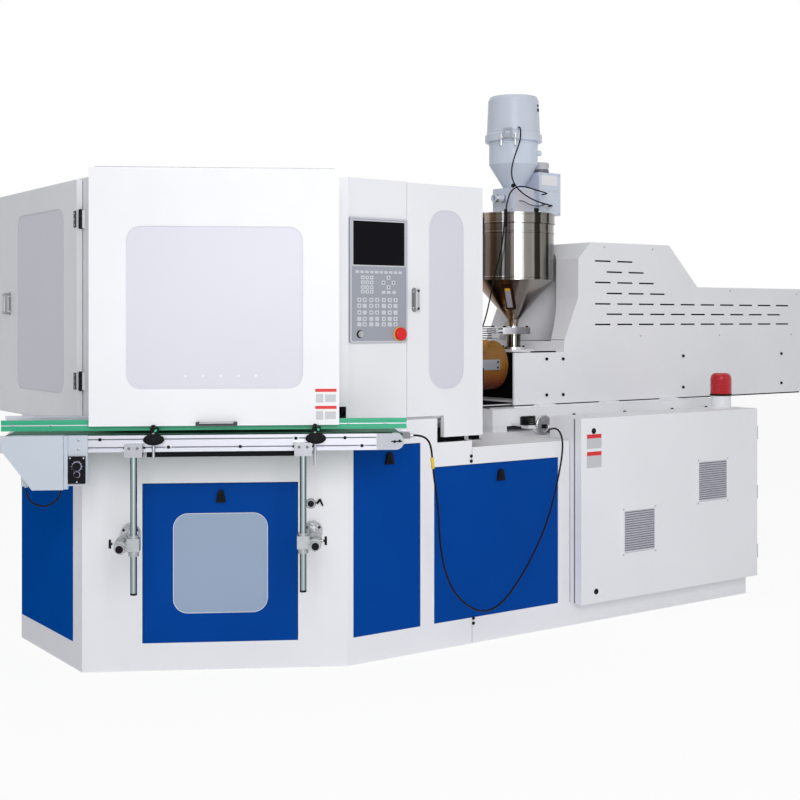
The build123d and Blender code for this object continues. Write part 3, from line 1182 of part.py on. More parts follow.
CONTROL_FRONT = -89.0
CONVEYOR_CABLE_R = 4.5
CONVEYOR_CABLE = [(304.5, -1202.9, 1040), (338, -1222.2, 1040), (369, -1237, 1014), (382, -1238, 968),
                  (393, -1230, 906), (414, -1214, 836), (439, -1199, 760), (459, -1186, 682), (470, -1176, 598),
                  (488, -1167, 500), (518, -1160, 398), (574, -1154, 300), (664, -1150, 222), (766, -1146, 186),
                  (864, -1140, 212), (945, -1134, 276), (1024, -1126, 352), (1102, -1116, 446), (1176, -1106, 553),
                  (1231, -1098, 672), (1272, -1090, 785), (1301, -1082, 876), (1325, -1062, 944),
                  (1350, -1016, 990), (1376, -954, 1003), (1400, -888, 994), (1430, -829, 976), (1480, -785, 964),
                  (1545, -771, 962), (1598, -760, 965), (1630, -725, 968), (1632, -680, 968)]
DRIVE_CABLE_R = 3.5
DRIVE_CABLE = [(-1212.3, -558.1, 854), (-1212.3, -558.1, 820), (-1192, -574, 788), (-1155, -599, 774),
               (-1116, -618, 788), (-1089.1, -624.6, 820), (-1089.1, -624.6, 854)]
POWER_CABLE_R = 4.0
POWER_CABLE = [(1819, -149, 2660), (1802.5, -177.6, 2657), (1789, -201, 2633), (1782, -207, 2578),
               (1764, -197, 2520), (1749, -181, 2458), (1745, -169, 2396), (1760, -166, 2340), (1800, -172, 2295),
               (1850, -182, 2262), (1905, -190, 2240), (1960, -192, 2227), (2014, -184, 2221), (2060, -165, 2220),
               (2092, -134, 2221), (2092, CONTROL_FRONT - 6, 2221)]
VALVE_CABLE_R = 4.0
VALVE_CABLE = [(2045, CONTROL_FRONT - 6, 2289), (2045, -136, 2289), (2016, -169, 2290), (1962, -187, 2294),
               (1896, -193, 2303), (1830, -195, 2315), (1770, -195, 2313), (1724, -193, 2286), (1702, -190, 2238),
               (1691, -187, 2178), (1684, -182, 2112), (1683, -174, 2042), (1682, -162, 1970), (1672, -149, 1900),
               (1660, -135, 1832), (1646, -127, 1764), (1632, -124, 1698), (1614, -126, 1634), (1592, -131, 1574),
               (1564, -137, 1518), (1540, -142, 1478), (1540, -142, TERMINAL_TOP + 6)]
SENSOR_CABLE_R = 2.5
SENSOR_CABLE = [(1874, -92, 2243), (1874, -118, 2243), (1886, -140, 2228), (1914, -152, 2214), (1956, -157, 2212),
                (1992, -157, 2216), (2024, -146, 2226), (2045, -122, 2232), (2045, CONTROL_FRONT - 6, 2232)]


def build():
    save("turret_base", turret_base())
    save("injection_base", injection_base())
    save("enclosure_frame", enclosure_frame())
    save("front_door", front_door())
    save("front_door_window", pane(FRONT_DOOR_PLANE, FRONT_WINDOW, FRONT_DOOR_THICK))
    save("left_door", left_door())
    save("left_door_window", pane(LEFT_DOOR_PLANE, LEFT_WINDOW, DOOR_THICK))
    save("right_door", right_door())
    save("right_door_window", pane(RIGHT_DOOR_PLANE, RIGHT_WINDOW, DOOR_THICK))
    save("front_panel", lift_panel(front_plane(), FRONT_PANEL, PANEL_WINDOW) - latch_hole(front_plane(), *FRONT_LATCH))
    save("front_panel_window", front_panel_window())
    side = side_plane(-HALF_WIDTH)
    save("narrow_panel", lift_panel(side, NARROW_PANEL) - latch_hole(side, *NARROW_LATCH))
    save("wide_panel", lift_panel(side, WIDE_PANEL) - latch_hole(side, *WIDE_LATCH))
    save("left_panel", lift_panel(left_plane(LEFT_X), LEFT_PANEL))
    save("front_panel_latch", latch(front_plane(), *FRONT_LATCH))
    save("narrow_panel_latch", latch(side, *NARROW_LATCH))
    save("wide_panel_latch", latch(side, *WIDE_LATCH))
    save("cabinet_body", cabinet_body())
    save("cabinet_door", cabinet_door())
    save("upper_lock", upper_lock())
    save("beacon_dome", beacon_dome())
    save("operator_panel", operator_panel())
    save("operator_screen", operator_screen())
    save("estop_button", estop_button())
    save("key_switch", key_switch())
    save("injection_bed", injection_bed())
    save("press_frames", Compound(list(press_frames())))
    save("stripper_comb", stripper_comb())
    save("upper_moulds", Compound(list(upper_moulds())))
    save("index_head", index_head())
    save("turret_spindle", turret_spindle())
    save("power_pack", power_pack())
    save("conveyor_frame", conveyor_frame())
    save("front_guide_rail", front_guide_rail())
    save("conveyor_belt", belt_loop())
    save("drive_roller", roller(CONV_LEFT))
    save("idler_roller", roller(CONV_RIGHT))
    save("conveyor_posts", Compound(conveyor_posts()))
    save("conveyor_brackets", Compound(conveyor_brackets()))
    save("drive_cover", drive_cover())
    save("speed_control", speed_control())
    save("speed_knob", turn_knob(KNOB, 17, 16))
    save("switch_knob", turn_knob(SWITCH, 11, 12))
    save("barrel", barrel())
    save("barrel_cover", barrel_cover())
    save("screw", screw())
    save("drive_motor", drive_motor())
    save("injection_housing", Compound(list(injection_housing())))
    save("drive_hood", drive_hood())
    save("hopper", Compound(list(hopper())))
    save("slide_gate", slide_gate())
    save("loader_receiver", loader_receiver())
    save("loader_cap", loader_cap())
    save("loader_latch", loader_latch())
    save("loader_control_box", loader_control_box())
    save("conveyor_cable", cable(CONVEYOR_CABLE, CONVEYOR_CABLE_R, "conveyor_cable"))
    save("drive_cable", cable(DRIVE_CABLE, DRIVE_CABLE_R, "drive_cable"))
    save("loader_power_cable", cable(POWER_CABLE, POWER_CABLE_R, "loader_power_cable"))
    save("loader_valve_cable", cable(VALVE_CABLE, VALVE_CABLE_R, "loader_valve_cable"))
    save("loader_sensor_cable", cable(SENSOR_CABLE, SENSOR_CABLE_R, "loader_sensor_cable"))


build()
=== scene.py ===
import bpy
import bmesh
import json
import math
from mathutils import Matrix, Vector


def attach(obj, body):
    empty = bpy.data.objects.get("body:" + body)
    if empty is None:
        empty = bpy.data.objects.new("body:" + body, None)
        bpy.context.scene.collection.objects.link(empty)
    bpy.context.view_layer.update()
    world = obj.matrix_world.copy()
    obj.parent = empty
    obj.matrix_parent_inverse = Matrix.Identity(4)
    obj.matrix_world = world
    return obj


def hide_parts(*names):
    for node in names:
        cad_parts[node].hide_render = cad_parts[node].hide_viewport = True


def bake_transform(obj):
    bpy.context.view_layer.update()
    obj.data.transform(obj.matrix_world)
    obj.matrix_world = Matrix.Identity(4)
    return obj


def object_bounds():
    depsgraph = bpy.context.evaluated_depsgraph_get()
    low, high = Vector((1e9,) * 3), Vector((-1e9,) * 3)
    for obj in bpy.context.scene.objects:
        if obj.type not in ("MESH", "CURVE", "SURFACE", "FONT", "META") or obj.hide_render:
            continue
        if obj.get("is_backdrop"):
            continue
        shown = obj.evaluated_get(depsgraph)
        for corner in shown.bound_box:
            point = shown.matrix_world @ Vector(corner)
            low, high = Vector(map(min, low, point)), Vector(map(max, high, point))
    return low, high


# Looks of a three-station injection blow moulding machine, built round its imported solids.
# Pieces are drawn in millimetres on a face of the machine and then set in place in metres.

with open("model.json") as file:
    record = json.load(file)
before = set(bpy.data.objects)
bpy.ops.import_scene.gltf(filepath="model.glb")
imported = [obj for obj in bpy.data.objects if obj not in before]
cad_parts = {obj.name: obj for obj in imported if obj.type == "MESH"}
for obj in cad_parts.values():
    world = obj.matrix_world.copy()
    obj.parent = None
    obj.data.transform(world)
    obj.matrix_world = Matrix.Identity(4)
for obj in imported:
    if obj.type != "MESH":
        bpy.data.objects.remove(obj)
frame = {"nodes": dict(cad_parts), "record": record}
nodes = frame["nodes"]
cad_low, cad_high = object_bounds()

MM = 0.001
OUT = math.sqrt(3) / 2
CORNER = (-903.0, -390.29)
HOPPER_X = 1903
LOADER_X = 1905


def add(name, data):
    """An object in the scene, at the origin, with this mesh, curve, lamp or camera."""
    made = bpy.data.objects.new(name, data)
    bpy.context.scene.collection.objects.link(made)
    return made


def face_matrix(origin, along, up):
    """Millimetres on a face (along, up, outward) to metres in the machine's frame."""
    a = Vector(along)
    b = Vector(up)
    turn = Matrix((a, b, a.cross(b))).transposed().to_4x4()
    return Matrix.Translation(Vector(origin) * MM) @ turn @ Matrix.Scale(MM, 4)


FRONT = face_matrix((CORNER[0], CORNER[1], 0), (OUT, -0.5, 0), (0, 0, 1))
SIDE = face_matrix((0, 0, 0), (1, 0, 0), (0, 0, 1))
LEFT = face_matrix((0, 0, 0), (0, -1, 0), (0, 0, 1))
TOP = face_matrix((0, 0, 0), (1, 0, 0), (0, 1, 0))
END = face_matrix((0, 0, 0), (0, 1, 0), (0, 0, 1))

# Camera, level, at the operator's side
lens = bpy.data.cameras.new("camera")
lens.sensor_width = 36.0
lens.lens = 58.5
lens.shift_y = -0.1
lens.clip_end = 100.0
camera = add("camera", lens)
camera.location = (-3.066, -5.862, 1.550)
camera.rotation_euler = (math.radians(90), 0, -math.atan2(0.578, 0.816))
bpy.context.scene.camera = camera


# Materials
class Tree:
    """The nodes of one material or of the world."""

    def __init__(self, tree):
        self.tree = tree

    def fill(self, socket, value):
        """Links a socket to another one, or gives it a plain value."""
        if isinstance(value, bpy.types.NodeSocket):
            self.tree.links.new(value, socket)
        else:
            socket.default_value = value

    def made(self, kind, output, inputs, **settings):
        """Adds a node, fills its inputs by name or number and returns one of its outputs."""
        node = self.tree.nodes.new("ShaderNode" + kind)
        for key, value in settings.items():
            setattr(node, key, value)
        for key, value in inputs.items():
            self.fill(node.inputs[key], value)
        return node.outputs[output]

    def maths(self, operation, *values):
        return self.made("Math", "Value", dict(enumerate(values)), operation=operation)

    def seen_rays(self):
        """1 for rays from the camera, a mirror or clear glass, else 0."""
        first = self.made("LightPath", "Is Camera Ray", {})
        rays = first.node.outputs
        return self.maths("MAXIMUM", self.maths("MAXIMUM", first, rays["Is Glossy Ray"]), rays["Is Transmission Ray"])

    def show(self, unseen, seen, share, output):
        """One shader for the light it gives and another for what is seen of it."""
        chosen = self.made("MixShader", "Shader", {0: share, 1: unseen, 2: seen})
        self.fill(self.tree.nodes[output].inputs["Surface"], chosen)


class Shader(Tree):
    """A node material for one finish."""

    def __init__(self, name):
        self.material = bpy.data.materials.new(name)
        self.material.use_nodes = True
        super().__init__(self.material.node_tree)
        self.place = self.made("TexCoord", "Object", {})

    def dress(self, inputs):
        """Fills the surface's inputs and returns the material."""
        for key, value in inputs.items():
            self.fill(self.tree.nodes["Principled BSDF"].inputs[key], value)
        return self.material

    def noise(self, scale, detail=2.0, rough=0.5, stretch=None):
        place = self.place
        if stretch:
            place = self.made("Mapping", "Vector", {"Scale": stretch, "Vector": place})
        return self.made("TexNoise", "Fac", {"Scale": scale, "Detail": detail, "Roughness": rough, "Vector": place})

    def ranged(self, value, low, high, to_low=0.0, to_high=1.0):
        """Number that runs between two others while a value runs from low to high."""
        return self.made("MapRange", "Result", {"Value": value, "From Min": low, "From Max": high,
                                                "To Min": to_low, "To Max": to_high})

    def spread(self, factor, low, high):
        """Number that drifts between two values."""
        return self.ranged(factor, 0.3, 0.7, low, high)

    def ramp(self, factor, colours):
        """Colour by a factor, through (place, tint) pairs."""
        colour = self.made("ValToRGB", "Color", {"Fac": factor})
        stops = colour.node.color_ramp.elements
        while len(stops) < len(colours):
            stops.new(0.5)
        for stop, (at, _) in zip(stops, colours):
            stop.position = at
        for stop, (_, shade) in zip(stops, colours):
            stop.color = (*shade, 1)
        return colour

    def drift(self, factor, colour, amount):
        """Colour that drifts a little lighter and darker."""
        low, high = (tuple(min(1.0, max(0.0, value * (1 + way))) for value in colour) for way in (-amount, amount))
        return self.ramp(factor, ((0.3, low), (0.7, high)))

    def steps(self, value, colours):
        """Colour that follows a value through (value, tint) pairs."""
        first, last = colours[0][0], colours[-1][0]
        return self.ramp(self.ranged(value, first, last),
                         [((at - first) / (last - first), colour) for at, colour in colours])

    def blend(self, factor, below, above, mode="MIX"):
        """One colour over another by a factor."""
        return self.made("Mix", "Result", {"Factor": factor, "A": below, "B": above}, data_type="RGBA",
                         blend_type=mode)

    def away(self, place, centre):
        return self.made("VectorMath", "Vector", {0: place, 1: centre}, operation="SUBTRACT")

    def bearing(self, away, near, right):
        """Degrees round an upright axis: 0 towards near, growing towards right."""
        sides = [self.made("VectorMath", "Value", {0: away, 1: way}, operation="DOT_PRODUCT") for way in (right, near)]
        return self.maths("DEGREES", self.maths("ARCTAN2", *sides))

    def axis(self, letter):
        """A coordinate in the machine's frame; Z is the height above the floor."""
        return self.made("SeparateXYZ", letter, {"Vector": self.place})

    def bump(self, height, strength, distance):
        self.dress({"Normal": self.made("Bump", "Normal", {"Strength": strength, "Distance": distance,
                                                           "Height": height})})


def coated(name, colour, rough, drift=0.02, grain=900.0, depth=0.2, coat=0.0, metal=0.0, shine=0.4, wear=0.04):
    """Powder coat, lacquer or moulded plastic with a fine grain."""
    made = Shader(name)
    made.bump(made.noise(grain, 1.0), depth, 0.0004)
    return made.dress({"Base Color": made.drift(made.noise(2.2, 3.0), colour, drift),
                       "Roughness": made.spread(made.noise(14.0, 3.0), rough - wear, rough + wear),
                       "Specular IOR Level": shine, "Metallic": metal, "Coat Weight": coat, "Coat Roughness": 0.15})


EVEN = (1.0, 1.0, 1.0)


def metal(name, colour, rough, stretch=(1.0, 1.0, 40.0), depth=0.15, drift=0.05):
    """Ground, rolled or brushed metal with streaks along one direction."""
    made = Shader(name)
    streak = made.noise(60.0, 4.0, 0.6, stretch)
    made.bump(streak, depth, 0.0003)
    return made.dress({"Base Color": made.drift(streak, colour, drift),
                       "Roughness": made.spread(streak, rough * 0.8, rough * 1.25), "Metallic": 1.0})


def painted_light_by_height(name, colours, rough, coat, shine):
    """Lacquer whose tint changes with height to paint in light and shade; colours is (height in metres, tint) from low
    to high.
    """
    made = Shader(name)
    made.bump(made.noise(90.0, 2.0), 0.05, 0.0004)
    return made.dress({"Base Color": made.steps(made.axis("Z"), colours),
                       "Roughness": made.spread(made.noise(30.0, 3.0), rough * 0.8, rough * 1.2),
                       "Specular IOR Level": shine, "Coat Weight": coat, "Coat Roughness": 0.12})


# Reflections painted into the hopper's colour, by degrees from the side nearest the operator
NEAR = (-0.6466, -0.7628, 0.0)
RIGHT = (0.7628, -0.6466, 0.0)
BODY_PAINTED_REFLECTIONS = ((-150, (0.30, 0.27, 0.25)), (-90, (0.20, 0.18, 0.16)), (-50, (0.14, 0.125, 0.11)),
              (-43, (0.15, 0.135, 0.12)), (-41, (0.46, 0.38, 0.33)), (-35, (0.40, 0.31, 0.26)),
              (-32, (0.16, 0.10, 0.06)), (-25, (0.10, 0.06, 0.035)), (-22, (0.15, 0.135, 0.11)),
              (-17, (0.16, 0.145, 0.12)), (-15.5, (0.03, 0.025, 0.02)), (-14.3, (0.85, 0.82, 0.80)),
              (-12.8, (0.80, 0.77, 0.75)), (-11.5, (0.10, 0.09, 0.08)), (-7, (0.12, 0.11, 0.10)),
              (-5, (0.045, 0.04, 0.037)), (1.5, (0.045, 0.04, 0.037)), (4, (0.70, 0.69, 0.67)),
              (14, (0.75, 0.74, 0.72)), (16, (0.26, 0.245, 0.23)), (29, (0.22, 0.21, 0.195)),
              (31.5, (0.02, 0.018, 0.014)), (39.5, (0.012, 0.011, 0.009)), (42, (0.17, 0.165, 0.145)),
              (51, (0.16, 0.155, 0.135)), (54, (0.006, 0.006, 0.005)), (57, (0.006, 0.006, 0.005)),
              (59.5, (0.24, 0.235, 0.23)), (90, (0.26, 0.255, 0.25)), (130, (0.12, 0.115, 0.11)),
              (160, (0.45, 0.43, 0.41)))
CONE_PAINTED_REFLECTIONS = ((-150, (0.40, 0.34, 0.30)), (-90, (0.22, 0.15, 0.10)), (-58, (0.20, 0.13, 0.09)),
              (-47, (0.25, 0.16, 0.10)), (-37, (0.14, 0.08, 0.04)), (-29, (0.22, 0.11, 0.05)),
              (-21, (0.48, 0.31, 0.17)), (-8, (0.28, 0.18, 0.12)), (0, (0.30, 0.22, 0.19)),
              (7, (0.34, 0.29, 0.26)), (14, (0.32, 0.28, 0.25)), (21, (0.29, 0.26, 0.23)),
              (27, (0.44, 0.40, 0.36)), (37, (0.46, 0.42, 0.39)), (47, (0.44, 0.41, 0.39)),
              (58, (0.42, 0.40, 0.39)), (76, (0.44, 0.42, 0.41)), (160, (0.48, 0.46, 0.44)))
GATE_STEEL = (0.85, 0.85, 0.89)


def reflection_painted_steel(name, cone_end=1.780, body_start=1.784, gate_top=1.512):
    """Polished sheet steel with painted reflection bands up the hopper's round wall, browner on the cone."""
    made = Shader(name)
    away = made.away(made.place, (HOPPER_X * MM, 0.0, 0.0))
    wander = made.maths("MULTIPLY_ADD", made.noise(1.6, 2.0, 0.5, (1.0, 1.0, 3.0)), 3.0,
                        made.bearing(away, NEAR, RIGHT))
    turn = made.maths("SUBTRACT", wander, 1.5)
    height = made.axis("Z")
    colour = made.blend(made.ranged(height, cone_end, body_start), made.steps(turn, CONE_PAINTED_REFLECTIONS),
                        made.steps(turn, BODY_PAINTED_REFLECTIONS))
    plain = made.steps(height, ((0.0, GATE_STEEL), (1.0, GATE_STEEL)))
    colour = made.blend(made.ranged(height, gate_top, gate_top + 0.001), plain, colour)
    streak = made.noise(60.0, 4.0, 0.6, (14.0, 14.0, 0.5))
    toned = made.blend(made.spread(streak, 0.0, 0.35), colour, (0.72, 0.70, 0.68, 1), "MULTIPLY")
    return made.dress({"Base Color": toned, "Roughness": made.spread(streak, 0.16, 0.24), "Metallic": 1.0})


def on_front(s, out, z):
    """Metres of a point along the front face, outward from it and above the floor."""
    return ((CORNER[0] + OUT * s - 0.5 * out) * MM, (CORNER[1] - 0.5 * s - OUT * out) * MM, z * MM)


# Reflections painted into the posts' zinc, by degrees round each post
POST_PAINTED_REFLECTIONS = ((-180, (0.20, 0.25, 0.26)), (-80, (0.05, 0.065, 0.065)), (-48, (0.06, 0.08, 0.08)),
              (-36, (0.24, 0.30, 0.32)), (-8, (0.33, 0.41, 0.43)), (4, (0.46, 0.54, 0.56)), (14, (0.33, 0.41, 0.43)),
              (34, (0.22, 0.28, 0.30)), (44, (0.05, 0.065, 0.065)), (80, (0.035, 0.045, 0.045)),
              (180, (0.20, 0.25, 0.26)))
POSTS = (261, 963)
POST_OUT = 343
POST_LEFT, POST_RIGHT = (on_front(s, POST_OUT, 0) for s in POSTS)


def post_steel_painted_reflections(name):
    """Zinc tube of the two height posts with painted reflection bands and dark edges, and their plainer clamp blocks.
    """
    made = Shader(name)
    hop = made.made("VectorMath", "Vector", {0: [POST_RIGHT[i] - POST_LEFT[i] for i in range(3)]}, operation="SCALE")
    middle = (POST_LEFT[0] + POST_RIGHT[0]) / 2
    made.fill(hop.node.inputs["Scale"], made.ranged(made.axis("X"), middle - 0.01, middle + 0.01))
    away = made.away(made.away(made.place, POST_LEFT), hop)
    tube = made.steps(made.bearing(away, (-0.46, -0.888, 0.0), (0.888, -0.46, 0.0)), POST_PAINTED_REFLECTIONS)
    streak = made.noise(60.0, 4.0, 0.6, (1.0, 1.0, 20.0))
    block = made.ramp(streak, ((0.3, (0.31, 0.32, 0.34)), (0.7, (0.37, 0.38, 0.41))))
    return made.dress({"Base Color": made.blend(made.ranged(made.axis("Z"), 0.979, 0.980), tube, block),
                       "Roughness": made.spread(streak, 0.26, 0.36), "Metallic": 1.0})


paints = {
    "white_paint": coated("white_powder_coat", (0.86, 0.86, 0.89), 0.42),
    "blue_paint": coated("blue_powder_coat", (0.001, 0.058, 0.32), 0.45, drift=0.05, shine=0.03),
    "frosted_sheet": coated("frosted_sheet", (0.68, 0.68, 0.75), 0.32, drift=0.01, grain=300.0, depth=0.03, wear=0.01),
    "black_plastic": coated("black_plastic", (0.009, 0.009, 0.011), 0.45, grain=1200.0, shine=0.06),
    "bezel_grey": coated("bezel_grey", (0.335, 0.35, 0.40), 0.40),
    "screen_glass": coated("screen_glass", (0.005, 0.005, 0.007), 0.12, grain=40.0, depth=0.0, shine=0.03),
    "red_button": coated("red_button", (0.72, 0.012, 0.012), 0.35, grain=60.0, depth=0.02, coat=0.15, shine=0.2),
    "switch_steel": metal("switch_steel", (0.40, 0.40, 0.42), 0.22),
    "aluminium_profile": metal("anodised_aluminium", (0.45, 0.46, 0.51), 0.38, stretch=(1.0, 1.0, 30.0)),
    "guide_green": coated("guide_green", (0.02, 0.42, 0.22), 0.35, grain=500.0, coat=0.2),
    "belt_rubber": coated("belt_rubber", (0.04, 0.16, 0.09), 0.65, grain=1500.0, depth=0.5),
    "bright_steel": metal("ground_steel", (0.31, 0.33, 0.34), 0.32),
    "mould_steel": metal("mould_steel", (0.46, 0.46, 0.48), 0.36),
    "stainless": reflection_painted_steel("stainless_painted_reflections"),
    # Amber cover: painted shade towards its underside and painted highlights in two bands
    "amber_paint": painted_light_by_height("amber_lacquer_painted_light_and_shade", ((1.150, (0.24, 0.035, 0.02)), (1.200, (0.36, 0.09, 0.03)),
                                             (1.250, (0.42, 0.16, 0.035)), (1.310, (0.46, 0.20, 0.035)),
                                             (1.330, (0.30, 0.14, 0.032)), (1.400, (0.31, 0.15, 0.032)),
                                             (1.420, (0.46, 0.20, 0.03))), 0.30, 0.1, 0.1),
    # Loader: painted light, the body below the cap lighter than the cap
    "loader_paint": painted_light_by_height("loader_enamel_painted_light", ((2.150, (0.66, 0.71, 0.81)), (2.420, (0.66, 0.72, 0.84)),
                                              (2.590, (0.68, 0.75, 0.86)), (2.615, (0.64, 0.69, 0.78)),
                                              (2.860, (0.62, 0.67, 0.76))), 0.32, 0.15, 0.2),
    "red_lens": coated("red_lens", (0.50, 0.012, 0.02), 0.20, grain=60.0, depth=0.02, coat=0.3, shine=0.15),
    "tank_paint": coated("tank_enamel", (0.45, 0.46, 0.49), 0.45),
    "cable_jacket": coated("cable_jacket", (0.007, 0.007, 0.008), 0.42, grain=1500.0, depth=0.1, shine=0.08),
}
own_paints = {
    "left_panel": coated("blue_in_shade", (0.001, 0.085, 0.42), 0.6, drift=0.05, shine=0.0),
    "front_panel_window": coated("blue_frosted_sheet", (0.31, 0.40, 0.54), 0.35, drift=0.02, grain=300.0, depth=0.03,
                                 wear=0.01),
    "conveyor_posts": post_steel_painted_reflections("post_steel_painted_reflections"),
    "conveyor_brackets": metal("cast_clamp", (0.36, 0.38, 0.39), 0.40, stretch=EVEN),
    # Drive cover: white paint tinted grey-blue, painted shade
    "drive_cover": coated("drive_cover_painted_shade", (0.55, 0.60, 0.67), 0.42),
    "loader_latch": coated("latch_grey", (0.42, 0.46, 0.52), 0.35),
}
for part in frame["record"]["subparts"]:
    piece = nodes[part["node"]]
    piece.data.materials.clear()
    piece.data.materials.append(own_paints.get(part["node"], paints[part["material_slot"]]))


# Cables
def route_curve(name, points, radius):
    """A smooth line through a route's points, with a round section."""
    curve = bpy.data.curves.new(name, "CURVE")
    curve.dimensions = "3D"
    spline = curve.splines.new("NURBS")
    spline.points.add(len(points) - 1)
    for point, place in zip(spline.points, points):
        point.co = (place[0] * MM, place[1] * MM, place[2] * MM, 1.0)
    spline.order_u = 3
    spline.use_endpoint_u = True
    curve.resolution_u = 8
    curve.bevel_depth = radius * MM
    curve.bevel_resolution = 4
    curve.use_fill_caps = True
    curve.materials.append(paints["cable_jacket"])
    return add(name, curve)


def mesh_of(piece):
    """The evaluated mesh of an object."""
    graph = bpy.context.evaluated_depsgraph_get()
    graph.update()
    return bpy.data.meshes.new_from_object(piece.evaluated_get(graph))


def held_cable(name, node, points, radius, body):
    """A cable whose two ends sit on one body."""
    made = route_curve(name, points, radius)
    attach(made, body)
    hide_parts(node)
    [value * MM for value in points[0]]


CONTROL_FRONT = -95.0
CONVEYOR_ROUTE = [(304.5, -1202.9, 1040), (338, -1222.2, 1040), (369, -1237, 1014), (382, -1238, 968),
                  (393, -1230, 906), (414, -1214, 836), (439, -1199, 760), (459, -1186, 682), (470, -1176, 598),
                  (488, -1167, 500), (518, -1160, 398), (574, -1154, 300), (664, -1150, 222), (766, -1146, 186),
                  (864, -1140, 212), (945, -1134, 276), (1024, -1126, 352), (1102, -1116, 446), (1176, -1106, 553),
                  (1231, -1098, 672), (1272, -1090, 785), (1301, -1082, 876), (1325, -1062, 944),
                  (1350, -1016, 990), (1376, -954, 1003), (1400, -888, 994), (1430, -829, 976), (1480, -785, 964),
                  (1545, -771, 962), (1598, -760, 965), (1630, -725, 968), (1632, -680, 968)]
DRIVE_ROUTE = [(-1212.3, -558.1, 854), (-1212.3, -558.1, 820), (-1192, -574, 788), (-1155, -599, 774),
               (-1116, -618, 788), (-1089.1, -624.6, 820), (-1089.1, -624.6, 854)]
POWER_ROUTE = [(1819, -149, 2660), (1802.5, -177.6, 2657), (1789, -201, 2633), (1782, -207, 2578),
               (1764, -197, 2520), (1749, -181, 2458), (1745, -169, 2396), (1760, -166, 2340), (1800, -172, 2295),
               (1850, -182, 2262), (1905, -190, 2240), (1960, -192, 2227), (2014, -184, 2221), (2060, -165, 2220),
               (2092, -134, 2221), (2092, CONTROL_FRONT, 2221)]
VALVE_ROUTE = [(2045, CONTROL_FRONT, 2289), (2045, -136, 2289), (2016, -169, 2290), (1962, -187, 2294),
               (1896, -193, 2303), (1830, -195, 2315), (1770, -195, 2313), (1724, -193, 2286), (1702, -190, 2238),
               (1691, -187, 2178), (1684, -182, 2112), (1683, -174, 2042), (1682, -162, 1970), (1672, -149, 1900),
               (1660, -135, 1832), (1646, -127, 1764), (1632, -124, 1698), (1614, -126, 1634), (1592, -131, 1574),
               (1564, -137, 1518), (1540, -142, 1478), (1540, -142, 1446)]
SENSOR_ROUTE = [(1874, -92, 2243), (1874, -118, 2243), (1886, -140, 2228), (1914, -152, 2214), (1956, -157, 2212),
                (1992, -157, 2216), (2024, -146, 2226), (2045, -122, 2232), (2045, CONTROL_FRONT, 2232)]


def conveyor_cable():
    """The long cable that hangs from the conveyor's end to the bed."""
    meshes = []
    for name, radius in (("conveyor_cable_line", 0.0), ("conveyor_cable_round", 4.5)):
        route = route_curve(name, CONVEYOR_ROUTE, radius)
        meshes.append(mesh_of(route))
        bpy.data.objects.remove(route)
    line, mesh = meshes
    path = [tuple(vertex.co) for vertex in line.vertices]
    made = add("conveyor_cable_run", mesh)
    mesh.materials.clear()
    mesh.materials.append(paints["cable_jacket"])
    mesh.shade_smooth()
    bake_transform(made)
    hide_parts("conveyor_cable")
    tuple(path[0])


conveyor_cable()
held_cable("drive_cable_run", "drive_cable", DRIVE_ROUTE, 3.5, "conveyor")
held_cable("power_cable_run", "loader_power_cable", POWER_ROUTE, 4.0, "carriage")
held_cable("valve_cable_run", "loader_valve_cable", VALVE_ROUTE, 4.0, "carriage")
held_cable("sensor_cable_run", "loader_sensor_cable", SENSOR_ROUTE, 2.5, "carriage")


# Mesh helpers: every shape is drawn on a face, x along it, y up it and z outward
def around(radius, angles, a=0, b=0):
    """Points on a circle at angles in degrees."""
    return [(a + radius * math.cos(math.radians(t)), b + radius * math.sin(math.radians(t))) for t in angles]


def oval(a, b, wide, tall, count=28):
    """Counterclockwise ellipse."""
    return [(a + wide * math.cos(2 * math.pi * i / count), b + tall * math.sin(2 * math.pi * i / count))
            for i in range(count)]


def rounded(a0, a1, b0, b1, radius, steps=8):
    """Counterclockwise outline of a rectangle with round corners."""
    if radius <= 0:
        return [(a0, b0), (a1, b0), (a1, b1), (a0, b1)]
    corners = [(a1 - radius, b0 + radius, -90), (a1 - radius, b1 - radius, 0),
               (a0 + radius, b1 - radius, 90), (a0 + radius, b0 + radius, 180)]
    return [spot for a, b, start in corners
            for spot in around(radius, [start + 90 * step / steps for step in range(steps + 1)], a, b)]


